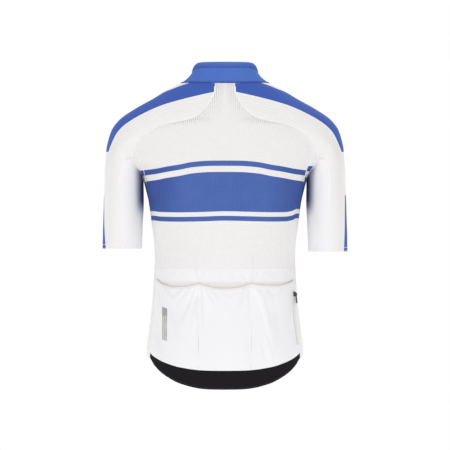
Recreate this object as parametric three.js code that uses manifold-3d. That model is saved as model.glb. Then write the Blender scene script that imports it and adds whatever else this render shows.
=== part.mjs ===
import * as THREE from "three";
import Module from "manifold-3d";

// A short-sleeved road cycling jersey, filled out as it is when worn, in millimetres.
// +X is the wearer's right, +Y the wearer's front and +Z up. The origin is the centre of the
// neck opening, on the seam at the base of the collar's back.
//
// The body and each arm are ovals at every height, worked out from the tables below. Above the
// armpit the two ovals are joined into one section, and the crease between them is the armhole.
// Seams are curves of x against z on the back or the front of that surface, and each panel is a
// wall between two seams.

const wasm = await Module();
wasm.setup();

const CLOTH = 1.2;
const POCKET_CLOTH = 1.1;
const COLLAR_CLOTH = 1.6;
const COLLAR_GAP = 0.65;
const STRIP_CLOTH = 1;
const SEAM_GAP = 0.34;
const LAYER_GAP = 0.3;
const STRIP_STANDOFF = 0.5; // what lies across a curved pocket touches it along two lines only
const TIP_STEP = 1; // a panel's pointed tip starts this far from the seam beside it

const BACK = -1;
const FRONT = 1;
const RIGHT = 1;
const LEFT = -1;
const BODY = "body";
const ARM = "arm";

const ARMPIT_Z = -213.4;
const SIDE_TIP_Z = { [BACK]: -138.8, [FRONT]: -151 };
const UNDER_TIP_Z = -163.5;
const UNDER_TIP_WIDTH = 9;
const POCKET_LINE_Z = -404;
const CUFF_Z = { [LEFT]: -360, [RIGHT]: -366 };
const HEM_BACK = { centre: -662, side: -600 };
const BAND_TOP = { centre: -622.6, side: -588.6 };
const HEM_FRONT = { centre: -592, side: -600 };
const HEM_CURVE = { from: 10, to: 88 }; // degrees round the body where the hem rises

const BODY_POWER = 2.4; // squareness of the body's oval
const NECK_FADE_Z = -130; // the neck's forward tilt has died away here
const ARC_STEPS = 48;
const NUDGE = 0.01;

const SHOULDER_LEVELS = [
  0, -12, -24, -36, -46, -56, -64, -71, -76.5, -80.5, -84.5, -90, -96, -103, -113, -125, -138.8,
  -151, -163.5, -171, -180, -188, -196, -203, -209, ARMPIT_Z,
];
const WAIST_LEVELS = [-231, -253, -280, -308, -341, -372, POCKET_LINE_Z];
const SLEEVE_LEVELS = [-231, -253, -290, -328];
// Rows of the skirt: the pocket line, the pockets' mouths, the hem band's top and the hem.
const MOUTH_ROW = 2;
const BAND_ROW = 8;
const HEM_ROW = 10;
const POCKET_ROW_GROWTH = 1.3; // rows are closer together near the mouths

const COLUMNS = { back: 7, front: 5, side: 3, sleeve: 5, under: 3, collar: 2, pocket: 7, centre: 3 };

// A smooth curve through values given at points in order, level past both ends.
function curveThrough(at, value) {
  const way = Math.sign(at[1] - at[0]);
  const slope = at.slice(1).map((a, i) => (value[i + 1] - value[i]) / (a - at[i]));
  const tangent = value.map((_, i) => {
    const before = slope[i - 1] ?? slope[i];
    const after = slope[i] ?? slope[i - 1];
    return before * after > 0 ? (2 * before * after) / (before + after) : 0;
  });
  return (place) => {
    let i = 0;
    while (i < at.length - 2 && (place - at[i + 1]) * way > 0) i += 1;
    const width = at[i + 1] - at[i];
    const t = Math.min(Math.max((place - at[i]) / width, 0), 1);
    const back = (1 - t) ** 2;
    return (
      value[i] * (1 + 2 * t) * back +
      tangent[i] * width * t * back +
      value[i + 1] * (3 - 2 * t) * t * t -
      tangent[i + 1] * width * (1 - t) * t * t
    );
  };
}

// The named columns of a table as curves of its first column.
function curvesOf(names, ...rows) {
  const at = rows.map((row) => row[0]);
  const curves = {};
  names.slice(1).forEach((name, i) => {
    const value = rows.map((row) => row[i + 1]);
    curves[name] = curveThrough(at, value);
  });
  return curves;
}

const mix = (a, b, share) => a + (b - a) * share;

function rise(value, from, to) {
  const t = Math.min(Math.max((value - from) / (to - from), 0), 1);
  return t * t * (3 - 2 * t);
}

const degrees = (angle) => (angle * 180) / Math.PI;

// The body's oval: half its width, its back and front, and the y of its sides.
const TORSO = curvesOf(
  ["z", "half", "back", "front", "side"],
  [0, 96, -66, 62, -3],
  [-12, 116, -78, 70, -4],
  [-30, 138, -90, 80, -5],
  [-50, 168, -99, 89, -5],
  [-70, 198, -106, 96, -5],
  [-90, 219, -111.5, 101, -5],
  [-110, 231, -116, 105, -5],
  [-130, 235, -119.5, 108, -5],
  [-150, 232, -121.5, 111, -5],
  [-163.5, 225.4, -122, 112.5, -5],
  [-176.5, 211.5, -122.5, 113.5, -5],
  [-189, 195.2, -122.3, 114, -5],
  [-200, 183.5, -122, 114.3, -4.5],
  [-213.4, 178.4, -121.5, 114.5, -4],
  [-231, 173.8, -120, 114.5, -4],
  [-253, 168.3, -117, 113.5, -3],
  [-308, 160.6, -107.5, 109, -2],
  [-341, 156.2, -102, 106.5, -1],
  [-385, 154, -98, 103.5, 0],
  [-407, 155, -97.5, 102.5, 0],
  [-451, 157.8, -100, 102, 0],
  [-495, 161.7, -106, 103, 0],
  [-539, 167, -113, 105, 0],
  [-583, 171.6, -118, 107.5, 0],
  [-623, 171, -119.5, 108, 0],
  [-665, 168, -117, 108, 0],
);

// The arm's oval: its outer and inner x, its reach to the back and front, the y of its sides,
// and how widely it is blended into the body above the armpit.
const SLEEVE = curvesOf(
  ["z", "out", "in", "back", "front", "side", "blend"],
  [0, 98, -20, 52, 50, -3, 4],
  [-12, 122, 0, 56, 53, -4, 14],
  [-33, 158, 30, 60, 56, -5, 28],
  [-55, 198, 62, 63, 58, -5, 36],
  [-77, 231, 100, 66, 60, -5, 40],
  [-99, 248.6, 128, 68, 61, -5, 40],
  [-121, 256.3, 150, 68, 61, -5, 36],
  [-143, 260.7, 167, 66, 60, -5, 28],
  [-163.5, 262, 178, 62, 58, -5, 12],
  [-189, 264, 178.6, 61.5, 58, -5, 4],
  [-213.4, 264.5, 178.8, 61, 58, -4, 0.5],
  [-253, 266, 178.6, 58, 56, -3, 0.5],
  [-308, 268, 181, 54, 53, 0, 0.5],
  [-366, 269.5, 183, 50, 51, 4, 0.5],
);

// How far the neck is dropped at each y, so that the front is lower than the back.
const NECK_DROP = curvesOf(["y", "z"], [-66, 0], [-35, 2.5], [-5, 3], [30, -14], [62, -42]);

// The seam between the shoulders and the body, on the back and on the front.
const RAGLAN = {
  [BACK]: curvesOf(
    ["z", "x"],
    [0, 22],
    [-20.7, 22.5],
    [-30.7, 27],
    [-43.9, 33.9],
    [-57.3, 44.8],
    [-64.6, 52.3],
    [-76.7, 70.8],
    [-80.5, 86],
    [-84.2, 104.3],
    [-90.5, 134.5],
    [-95.8, 148.7],
    [-102.1, 160.9],
    [-119, 183.2],
    [-137.3, 196.1],
    [-152.2, 201.5],
    [-163.5, 202.7],
  ).x,
  [FRONT]: curvesOf(
    ["z", "x"],
    [0, 38],
    [-20, 42],
    [-40, 56],
    [-60, 80],
    [-80, 110],
    [-100, 142],
    [-120, 170],
    [-140, 190],
    [-155, 200],
    [-163.5, 202.7],
  ).x,
};

// The seam between the body's panels and the panel under each arm.
const SIDE_SEAM = {
  [BACK]: curvesOf(
    ["z", "x"],
    [SIDE_TIP_Z[BACK], RAGLAN[BACK](SIDE_TIP_Z[BACK]) - TIP_STEP],
    [-150, 192.3],
    [-163.5, 187],
    [-176.5, 182],
    [-187.7, 177.5],
    [-200, 174.5],
    [-213.4, 172.5],
    [-231, 168],
    [-253, 163],
    [-308, 155],
    [-363, 149.8],
    [-407, 149],
    [-430, 149.6],
    [-495, 152.8],
    [-539, 157.8],
    [-583, 163.3],
    [-605, 165],
  ).x,
  [FRONT]: curvesOf(
    ["z", "x"],
    [SIDE_TIP_Z[FRONT], RAGLAN[FRONT](SIDE_TIP_Z[FRONT]) - TIP_STEP],
    [-163.5, 188],
    [-187.7, 172],
    [-213.4, 163],
    [-253, 154],
    [-308, 146],
    [-363, 141],
    [-407, 140],
    [-495, 145],
    [-605, 155],
  ).x,
};

// The seam between the sleeve and the panel under the arm, the same on the back and the front.
const SLEEVE_SEAM = curvesOf(
  ["z", "x"],
  [UNDER_TIP_Z, RAGLAN[BACK](UNDER_TIP_Z) + UNDER_TIP_WIDTH],
  [-170, 217.8],
  [-177.6, 222.8],
  [-203.7, 228.7],
  [-245, 230.6],
  [-316.7, 227],
  [-366, 223.5],
).x;

const COLLAR_TOP = { half: 72, back: 56, front: 60, side: -4, widensFrom: 8, widensTo: 60 };
// The collar's upper edge and the roll just below it, by degrees from the centre back.
const COLLAR_EDGE = curvesOf(
  ["angle", "z", "roll"],
  [0, 46.8, 1],
  [40, 47, 1],
  [52, 46.2, 1],
  [60, 44, 0.9],
  [68, 40.5, 0.8],
  [80, 34, 0.6],
  [90, 30, 0.5],
  [120, 20, 0.2],
  [150, 9, 0],
  [180, -3, 0],
);
const COLLAR_ROLL = curvesOf(["height", "out"], [0, 0], [0.6, 0], [0.77, -1], [0.92, 1.2], [1, 0.2]);
const COLLAR_ROWS = [1, 0.92, 0.84, 0.77, 0.68, 0.5, 0.25, 0];

const POCKET_TACK_X = 55.5;
const tackEdge = () => POCKET_TACK_X;
const SIDE_POCKET = { centre: 102, half: 46.5 };
const POCKET_BULGE = 2.2;
const BULGE_FADE = 70; // the bulge dies away this far below the mouth
// The height of the pockets' mouths, by distance from the centre.
const MOUTH = curvesOf(
  ["x", "left", "right"],
  [0, -445.2, -445.2],
  [20, -444, -444],
  [40, -440, -440],
  [POCKET_TACK_X, -435, -435],
  [80, -440.5, -438],
  [110, -442.5, -439.7],
  [135, -436, -434.5],
  [150, -426, -428],
);
const MOUTH_HALF = 158; // the body's half width at the mouths

// The largest folds: each runs between two points seen from behind, as a soft ridge or trough.
const FOLDS = [
  // from x, from z, to x, to z, half width, height
  [-57, -437, -86, -476, 9, 1.8],
  [-60, -440, -77, -520, 10, -1.6],
  [-50, -440, -31, -496, 9, 1.4],
  [58, -440, 82, -482, 9, 1.8],
  [82, -482, 95, -540, 10, 1.6],
  [95, -540, 103, -606, 12, 1.2],
  [52, -442, 33, -484, 9, -1.5],
  [84, -452, 112, -470, 9, -1.2],
  [-100, -214, -60, -236, 14, 1.2],
  [118, -228, 66, -250, 14, 1.2],
].map(([fromX, fromZ, toX, toZ, width, height]) => ({ fromX, fromZ, toX, toZ, width, height }));

const REFLECTIVE = { inner: 124.3, outer: 135.6, top: -487.7, bottom: -557.7, slant: 0.3, rows: 4 };

const ZIP = {
  tapeEdge: 7.7, // the tape's outer edge, from the centre line
  panelEdge: 8,
  chainEdge: 2.2,
  raised: 0.8,
  sunk: 1,
};
const SLIDER = { width: 8.4, length: 10, plate: 1.4, ear: 1.1, earLength: 5, pin: 0.8, eye: 1.1 };
const TAB = { width: 4.4, thick: 1.6, ring: 1.75, sides: 16 };
const FRONT_SLIDER_HEIGHT = 0.82; // of the collar's height
const FRONT_TAB = { length: 28, lean: 5 };
const POCKET_TAB = { length: 20, lean: 2 };
const POCKET_ZIP = { half: 2.5, thick: 1.2, top: -452, bottom: -568, slider: -459, rows: 7 };
const POCKET_ZIP_X = curvesOf(["z", "x"], [-452, 148.6], [-507, 150.6], [-542, 155], [-568, 158.2]).x;

// All the sizes of the section at one height.
function section(z, joined = z > ARMPIT_Z) {
  return {
    joined,
    half: TORSO.half(z),
    side: { [BODY]: TORSO.side(z), [ARM]: SLEEVE.side(z) },
    bodyReach: {
      [BACK]: TORSO.side(z) - TORSO.back(z),
      [FRONT]: TORSO.front(z) - TORSO.side(z),
    },
    out: SLEEVE.out(z),
    in: SLEEVE.in(z),
    armReach: { [BACK]: SLEEVE.back(z), [FRONT]: SLEEVE.front(z) },
    blend: SLEEVE.blend(z),
  };
}

function signedRoot(value) {
  return Math.abs(value) < 1e-9 ? 0 : Math.sign(value) * Math.sqrt(Math.abs(value));
}

function bodyDepth(s, face, x) {
  return s.bodyReach[face] * signedRoot(1 - (Math.abs(x) / s.half) ** BODY_POWER);
}

function armDepth(s, face, x) {
  const across = (2 * x - s.in - s.out) / (s.out - s.in);
  return s.armReach[face] * signedRoot(1 - across ** 2);
}

// How far the surface stands behind or before the section's side line at x.
function depthAt(s, part, face, x) {
  if (!s.joined) return part === BODY ? bodyDepth(s, face, x) : armDepth(s, face, x);
  const body = bodyDepth(s, face, x);
  const arm = armDepth(s, face, x);
  const close = Math.max(s.blend - Math.abs(body - arm), 0) / s.blend;
  return Math.max(body, arm) + (close * close * s.blend) / 4;
}

// The x where the body's oval and the arm's oval cross, above the armpit.
function creaseX(face, z) {
  const s = section(z);
  let low = s.in;
  let high = s.half;
  for (let i = 0; i < 40; i += 1) {
    const middle = (low + high) / 2;
    if (bodyDepth(s, face, middle) > armDepth(s, face, middle)) low = middle;
    else high = middle;
  }
  return low;
}

// The armhole: the raglan seam down to the tip of the panel under the arm, then the crease.
function armholeX(face, z) {
  if (z >= UNDER_TIP_Z) return RAGLAN[face](z);
  const step = RAGLAN[face](UNDER_TIP_Z) - creaseX(face, UNDER_TIP_Z);
  return creaseX(face, z) + step * (1 - rise(z, UNDER_TIP_Z, -188));
}

function foldHeight(face, x, z) {
  if (face === FRONT) return 0;
  let height = 0;
  for (const fold of FOLDS) {
    const along = [fold.toX - fold.fromX, fold.toZ - fold.fromZ];
    const length = Math.hypot(...along);
    const share = ((x - fold.fromX) * along[0] + (z - fold.fromZ) * along[1]) / length ** 2;
    const t = Math.min(Math.max(share, 0), 1);
    const away = Math.hypot(x - fold.fromX - along[0] * t, z - fold.fromZ - along[1] * t);
    height += fold.height * Math.sin(Math.PI * (0.15 + 0.7 * t)) * Math.exp(-((away / fold.width) ** 2));
  }
  return height;
}

// A point of the surface and its outward direction. x is the distance from the centre.
function surfaceAt(part, face, side, x, z) {
  const joined = z > ARMPIT_Z;
  const s = section(z, joined);
  const depth = depthAt(s, part, face, x);
  const signedSquare = (atX, atZ) => {
    const d = depthAt(section(atZ, joined), part, face, atX);
    return d * Math.abs(d);
  };
  const slopeX = (signedSquare(x + NUDGE, z) - signedSquare(x - NUDGE, z)) / (2 * NUDGE);
  const slopeZ = (signedSquare(x, z + NUDGE) - signedSquare(x, z - NUDGE)) / (2 * NUDGE);
  const sideSlope =
    (section(z + NUDGE, joined).side[part] - section(z - NUDGE, joined).side[part]) / (2 * NUDGE);
  const normal = new THREE.Vector3(
    -slopeX,
    2 * face * depth,
    -slopeZ - 2 * face * depth * sideSlope,
  ).normalize();

  const y = s.side[part] + face * depth;
  const fade = (at) => 1 - rise(at, 0, NECK_FADE_Z);
  const drop = NECK_DROP.z(y) * fade(z);
  const dropY = ((NECK_DROP.z(y + NUDGE) - NECK_DROP.z(y - NUDGE)) / (2 * NUDGE)) * fade(z);
  const dropZ = (NECK_DROP.z(y) * (fade(z + NUDGE) - fade(z - NUDGE))) / (2 * NUDGE);
  normal.z /= 1 + dropZ;
  normal.y -= dropY * normal.z;
  normal.normalize();

  const point = new THREE.Vector3(x, y, z + drop);
  point.addScaledVector(normal, foldHeight(face, side * x, z));
  point.x *= side;
  normal.x *= side;
  return { point, normal };
}

// The x of points evenly spaced along the section between two seams.
function evenly(s, part, face, from, to, columns) {
  const path = [];
  let length = 0;
  for (let i = 0; i <= ARC_STEPS; i += 1) {
    const x = mix(from, to, (1 - Math.cos((Math.PI * i) / ARC_STEPS)) / 2);
    const depth = depthAt(s, part, face, x);
    if (i) length += Math.hypot(x - path[i - 1].x, depth - path[i - 1].depth);
    path.push({ x, depth, length });
  }
  return Array.from({ length: columns + 1 }, (_, column) => {
    const wanted = (length * column) / columns;
    let i = 1;
    while (i < ARC_STEPS && path[i].length < wanted) i += 1;
    const share = (wanted - path[i - 1].length) / (path[i].length - path[i - 1].length);
    return mix(path[i - 1].x, path[i].x, share);
  });
}

// Half of the gap at a seam, measured level, so that the gap is the same where the seam slants.
function halfGap(seam, z) {
  const slope = seam(z + 0.5) - seam(z - 0.5);
  return (SEAM_GAP / 2) * Math.hypot(1, slope);
}

const before = (seam) => (z) => seam(z) - halfGap(seam, z);
const after = (seam) => (z) => seam(z) + halfGap(seam, z);

// A row of a panel: the height at its seam, and its height at each share of the half width.
const level = (z) => ({ at: z, z: () => z });

function roundBody(share) {
  return degrees(Math.asin(Math.min(share, 1)));
}

function hemHeight(hem, share) {
  const up = rise(roundBody(share), HEM_CURVE.from, HEM_CURVE.to);
  return mix(hem.centre, hem.side, up);
}

function mouthHeight(side, x) {
  return side === LEFT ? MOUTH.left(x) : MOUTH.right(x);
}

function skirtHeight(face, side, row, share) {
  if (face === FRONT) return mix(POCKET_LINE_Z, hemHeight(HEM_FRONT, share), row / HEM_ROW);
  const mouth = mouthHeight(side, share * MOUTH_HALF);
  const bandTop = hemHeight(BAND_TOP, share);
  if (row <= MOUTH_ROW) return mix(POCKET_LINE_Z, mouth, row / MOUTH_ROW);
  if (row > BAND_ROW) {
    return mix(bandTop, hemHeight(HEM_BACK, share), (row - BAND_ROW) / (HEM_ROW - BAND_ROW));
  }
  const down = (row - MOUTH_ROW) / (BAND_ROW - MOUTH_ROW);
  return mix(mouth, bandTop, down ** POCKET_ROW_GROWTH);
}

// The height of a skirt row where it meets the side seam.
function skirtSeamHeight(face, side, row) {
  let z = POCKET_LINE_Z;
  for (let i = 0; i < 6; i += 1) {
    z = skirtHeight(face, side, row, SIDE_SEAM[face](z) / TORSO.half(z));
  }
  return z;
}

function skirtRow(face, side, row, shift = 0) {
  return {
    at: skirtSeamHeight(face, side, row) + shift,
    z: (share) => skirtHeight(face, side, row, share) + shift,
  };
}

function skirtRows(face, side, first, last) {
  const rows = [];
  for (let row = first; row <= last; row += 1) rows.push(skirtRow(face, side, row));
  return rows;
}

// A grid of points between two seams on one face of the body or arm. Rows go down, and columns
// go round anticlockwise seen from above. lift gives the outer wall's height over the surface.
function patch({ part, face, side, rows, columns, from, to, thick = CLOTH, lift = () => 0 }) {
  const grid = rows.map((row) => {
    const s = section(row.at);
    const line = evenly(s, part, face, from(row.at), to(row.at), columns).map((x) => {
      const z = row.z(x / s.half);
      const place = part === BODY && !s.joined ? (x / s.half) * TORSO.half(z) : x;
      const { point, normal } = surfaceAt(part, face, side, place, z);
      const up = lift(place, z);
      return {
        outer: point.clone().addScaledVector(normal, up),
        inner: point.clone().addScaledVector(normal, up - thick),
      };
    });
    return face === BACK ? line : line.reverse();
  });
  return side === RIGHT ? grid : grid.map((line) => line.reverse());
}

// The closed wall between the outer and inner points of some grids, welded where they meet.
function wallOf(...grids) {
  const points = [];
  const outerFaces = [];
  const indexOf = (corner) => {
    const found = points.findIndex((p) => p.outer.distanceToSquared(corner.outer) < 1e-4);
    return found < 0 ? points.push(corner) - 1 : found;
  };
  for (const grid of grids) {
    const index = grid.map((line) => line.map(indexOf));
    for (let row = 0; row + 1 < index.length; row += 1) {
      for (let column = 0; column + 1 < index[row].length; column += 1) {
        const a = index[row][column];
        const b = index[row + 1][column];
        const c = index[row + 1][column + 1];
        const d = index[row][column + 1];
        outerFaces.push([a, b, c], [a, c, d]);
      }
    }
  }
  const faces = outerFaces.filter(([a, b, c]) => a !== b && b !== c && c !== a);
  const edges = new Set();
  for (const [a, b, c] of faces) for (const edge of [[a, b], [b, c], [c, a]]) edges.add(edge.join());
  const count = points.length;
  const all = [...faces, ...faces.map(([a, b, c]) => [c + count, b + count, a + count])];
  for (const edge of edges) {
    const [a, b] = edge.split(",").map(Number);
    if (edges.has(`${b},${a}`)) continue;
    all.push([b, a, a + count], [b, a + count, b + count]);
  }
  const places = [...points.map((p) => p.outer), ...points.map((p) => p.inner)];
  const geometry = new THREE.BufferGeometry().setFromPoints(places);
  geometry.setIndex(all.flat());
  geometry.computeVertexNormals();
  return geometry;
}

function solidFrom(geometry) {
  const source = geometry.index ? geometry.toNonIndexed() : geometry;
  const corners = source.getAttribute("position");
  const unique = new Map();
  const vertices = [];
  const triangles = [];
  for (let i = 0; i < corners.count; i += 1) {
    const at = [corners.getX(i), corners.getY(i), corners.getZ(i)];
    const key = at.map((v) => Math.round(v * 1e4)).join();
    if (!unique.has(key)) {
      unique.set(key, unique.size);
      vertices.push(...at);
    }
    triangles.push(unique.get(key));
  }
  return new wasm.Manifold(
    new wasm.Mesh({
      numProp: 3,
      vertProperties: new Float32Array(vertices),
      triVerts: new Uint32Array(triangles),
    }),
  );
}

// Several closed shapes fused into one.
function fused(...shapes) {
  const mesh = shapes.map(solidFrom).reduce((whole, next) => whole.add(next)).getMesh();
  const geometry = new THREE.BufferGeometry();
  geometry.setAttribute("position", new THREE.BufferAttribute(mesh.vertProperties, 3));
  geometry.setIndex(new THREE.BufferAttribute(mesh.triVerts, 1));
  geometry.computeVertexNormals();
  return geometry;
}

const knit = { colour: 0xeceae6, roughness: 0.9 };
const smoothKnit = { colour: 0xf3f3f6, roughness: 0.85 };
const blue = { colour: 0x3e62b9, roughness: 0.8 };
const black = { colour: 0x1e1c21, roughness: 0.9 };
const nylon = { colour: 0xe9e9ec, roughness: 0.5 };
const reflective = { colour: 0xb9bab6, roughness: 0.35, metalness: 0.4 };
const darkMetal = { colour: 0x3c3d42, roughness: 0.45, metalness: 0.6 };

const jersey = new THREE.Group();

function add(name, geometry, { colour, roughness, metalness = 0 }, place) {
  const material = new THREE.MeshStandardMaterial({ color: colour, roughness, metalness });
  const mesh = new THREE.Mesh(geometry, material);
  mesh.name = name;
  if (place) mesh.applyMatrix4(place);
  jersey.add(mesh);
}

const sideName = (name, side) => `${name}_${side === LEFT ? "left" : "right"}`;
const levelsDown = (levels, top) => levels.filter((z) => z <= top).map(level);

// Seams beside each body panel, on the back or the front.
const panelEdge = (face) => (z) =>
  z > SIDE_TIP_Z[face] ? before(RAGLAN[face])(z) : before(SIDE_SEAM[face])(z);
const armholeCurve = (face) => (z) => armholeX(face, z);

function backPanel() {
  const last = level(POCKET_LINE_Z + SEAM_GAP / 2);
  const waist = WAIST_LEVELS.slice(0, -1);
  const rows = [...[...SHOULDER_LEVELS, ...waist].map(level), last];
  const half = { part: BODY, face: BACK, rows, columns: COLUMNS.back, from: () => 0 };
  const grids = [LEFT, RIGHT].map((side) => patch({ ...half, side, to: panelEdge(BACK) }));
  add("back_panel", wallOf(...grids), knit);
}

// The lower back has a column of points at each edge of each pocket.
function skirtPatches(side, rows) {
  const half = { part: BODY, face: BACK, side, rows };
  return [
    patch({ ...half, columns: COLUMNS.centre, from: () => 0, to: tackEdge }),
    patch({ ...half, columns: COLUMNS.pocket, from: tackEdge, to: panelEdge(BACK) }),
  ];
}

function lowerBackPanel() {
  const grids = [LEFT, RIGHT].map((side) => {
    const top = level(POCKET_LINE_Z - SEAM_GAP / 2);
    const bottom = skirtRow(BACK, side, BAND_ROW, SEAM_GAP / 2);
    return skirtPatches(side, [top, ...skirtRows(BACK, side, 1, BAND_ROW - 1), bottom]);
  });
  add("lower_back_panel", wallOf(...grids.flat()), smoothKnit);
}

function hemGripper() {
  const grids = [LEFT, RIGHT].map((side) => {
    const top = skirtRow(BACK, side, BAND_ROW, -SEAM_GAP / 2);
    return skirtPatches(side, [top, ...skirtRows(BACK, side, BAND_ROW + 1, HEM_ROW)]);
  });
  add("hem_gripper", wallOf(...grids.flat()), black);
}

function frontPanel(side) {
  const rows = [
    ...[...SHOULDER_LEVELS, ...WAIST_LEVELS].map(level),
    ...skirtRows(FRONT, side, 1, HEM_ROW),
  ];
  const half = { part: BODY, face: FRONT, side, rows, columns: COLUMNS.front };
  const grid = patch({ ...half, from: () => ZIP.panelEdge, to: panelEdge(FRONT) });
  add(sideName("front", side), wallOf(grid), knit);
}

// The panel down the side of the body, in two prongs round the armhole's lowest point.
function sidePanel(side) {
  const grids = [BACK, FRONT].map((face) => {
    const skirt = [];
    for (let row = 1; row <= HEM_ROW; row += 1) {
      const here = skirtSeamHeight(face, side, row);
      const middle = (here + skirtSeamHeight(-face, side, row)) / 2;
      const seamAngle = roundBody(SIDE_SEAM[face](here) / TORSO.half(here));
      const z = (share) => mix(here, middle, Math.max(roundBody(share) - seamAngle, 0) / (90 - seamAngle));
      skirt.push({ at: here, z });
    }
    const rows = [...levelsDown([...SHOULDER_LEVELS, ...WAIST_LEVELS], SIDE_TIP_Z[face]), ...skirt];
    const from = after(SIDE_SEAM[face]);
    const to = (z) => (z > ARMPIT_Z ? before(armholeCurve(face))(z) : TORSO.half(z));
    return patch({ part: BODY, face, side, rows, columns: COLUMNS.side, from, to });
  });
  add(sideName("side_panel", side), wallOf(...grids), knit);
}

// Where the sleeve's second column of points lies: beside the raglan, then on the sleeve seam.
const sleeveColumn = (face) => (z) =>
  z > UNDER_TIP_Z ? RAGLAN[face](z) + UNDER_TIP_WIDTH : after(SLEEVE_SEAM)(z);

function sleeve(side) {
  const rows = [...SHOULDER_LEVELS, ...SLEEVE_LEVELS, CUFF_Z[side]].map(level);
  const above = rows.filter((row) => row.at >= UNDER_TIP_Z);
  const grids = [BACK, FRONT].flatMap((face) => {
    const shape = { part: ARM, face, side };
    const from = after(RAGLAN[face]);
    const column = sleeveColumn(face);
    return [
      patch({ ...shape, rows: above, columns: 1, from, to: column }),
      patch({ ...shape, rows, columns: COLUMNS.sleeve, from: column, to: SLEEVE.out }),
    ];
  });
  add(sideName("sleeve", side), wallOf(...grids), blue);
}

function underSleeve(side) {
  const levels = [...SHOULDER_LEVELS, ...SLEEVE_LEVELS, CUFF_Z[side]];
  const rows = levels.filter((z) => z < UNDER_TIP_Z).map(level);
  rows.unshift(level(UNDER_TIP_Z - SEAM_GAP));
  const grids = [BACK, FRONT].map((face) => {
    const from = (z) => (z > ARMPIT_Z ? after(armholeCurve(face))(z) : SLEEVE.in(z));
    const to = before(SLEEVE_SEAM);
    return patch({ part: ARM, face, side, rows, columns: COLUMNS.under, from, to });
  });
  add(sideName("under_sleeve", side), wallOf(...grids), knit);
}

// A point of the collar's outer face, at a share of its height above a point of the neck seam.
function collarAt(height, face, side, x) {
  const s = section(0);
  const { point: seam } = surfaceAt(BODY, face, side, x, 0);
  const share = Math.abs(seam.y - s.side[BODY]) / s.bodyReach[face];
  const narrow = COLLAR_TOP.half / s.out;
  const widening = rise(x, COLLAR_TOP.widensFrom, COLLAR_TOP.widensTo);
  const scale = face === BACK ? narrow : mix(1, narrow, widening);
  const topY = COLLAR_TOP.side + face * share * (face === BACK ? COLLAR_TOP.back : COLLAR_TOP.front);
  const angle = degrees(Math.atan2(x / s.out, -face * share));
  const flare = (1 - height) ** 2;
  const point = new THREE.Vector3(
    mix(seam.x * scale, seam.x, flare),
    mix(topY, seam.y, flare),
    mix(seam.z + COLLAR_GAP, COLLAR_EDGE.z(angle), height),
  );
  return { point, roll: COLLAR_ROLL.out(height) * COLLAR_EDGE.roll(angle) };
}

// The collar's points along half of the neck seam. Over the shoulder they are the sleeve's own.
function neckPoints(face, from) {
  const s = section(0);
  const seam = after(RAGLAN[face])(0);
  const near = evenly(s, BODY, face, from, seam, COLUMNS.collar);
  return [...near, ...evenly(s, ARM, face, sleeveColumn(face)(0), s.out, COLUMNS.sleeve)];
}

function collar() {
  const ring = [];
  for (const side of [LEFT, RIGHT]) {
    const back = neckPoints(BACK, 0).map((x) => [BACK, side, x]);
    const front = neckPoints(FRONT, ZIP.panelEdge).map((x) => [FRONT, side, x]);
    const half = [...back, ...front.reverse().slice(1)];
    if (side === LEFT) ring.push(...half.reverse());
    else ring.push(...half.slice(1));
  }
  const points = COLLAR_ROWS.map((height) =>
    ring.map(([face, side, x]) => collarAt(height, face, side, x)),
  );
  const grid = points.map((line, row) =>
    line.map(({ point, roll }, column) => {
      const above = points[Math.max(row - 1, 0)][column].point;
      const below = points[Math.min(row + 1, points.length - 1)][column].point;
      const left = line[Math.max(column - 1, 0)].point;
      const right = line[Math.min(column + 1, line.length - 1)].point;
      const down = below.clone().sub(above);
      const normal = down.cross(right.clone().sub(left)).normalize();
      return {
        outer: point.clone().addScaledVector(normal, roll),
        inner: point.clone().addScaledVector(normal, roll - COLLAR_CLOTH),
      };
    }),
  );
  add("collar", wallOf(grid), blue);
}

// How far a pocket's outer face stands off the lower back. It gapes most in the middle of its mouth.
function pocketLift(side, x, z) {
  const [centre, half] = x < POCKET_TACK_X ? [0, POCKET_TACK_X] : [SIDE_POCKET.centre, SIDE_POCKET.half];
  const across = Math.max(1 - ((x - centre) / half) ** 2, 0);
  const near = 1 - rise(mouthHeight(side, x) - z, 0, BULGE_FADE);
  return LAYER_GAP + POCKET_CLOTH + POCKET_BULGE * across * near;
}

function pocketPatch(side, columns, from, to) {
  const rows = skirtRows(BACK, side, MOUTH_ROW, BAND_ROW);
  const lift = (x, z) => pocketLift(side, x, z);
  return patch({ part: BODY, face: BACK, side, rows, columns, from, to, thick: POCKET_CLOTH, lift });
}

function pockets() {
  for (const side of [LEFT, RIGHT]) {
    const grid = pocketPatch(side, COLUMNS.pocket, after(tackEdge), before(SIDE_SEAM[BACK]));
    add(sideName("pocket", side), wallOf(grid), smoothKnit);
  }
  const halves = [LEFT, RIGHT].map((side) =>
    pocketPatch(side, COLUMNS.centre, () => 0, before(tackEdge)),
  );
  add("pocket_centre", wallOf(...halves), smoothKnit);
}

// The reflective strip on the left pocket: its ends slant down towards the centre.
function reflectiveStrip() {
  const { inner, outer, top, bottom, slant } = REFLECTIVE;
  const rows = [];
  for (let row = 0; row <= REFLECTIVE.rows; row += 1) {
    const at = mix(top, bottom, row / REFLECTIVE.rows);
    rows.push({ at, z: (share) => at + slant * (share * TORSO.half(at) - (inner + outer) / 2) });
  }
  const lift = (x, z) => pocketLift(LEFT, x, z) + STRIP_STANDOFF + STRIP_CLOTH;
  const shape = { part: BODY, face: BACK, side: LEFT, rows, columns: 2, thick: STRIP_CLOTH, lift };
  add("reflective_strip", wallOf(patch({ ...shape, from: () => inner, to: () => outer })), reflective);
}

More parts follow.
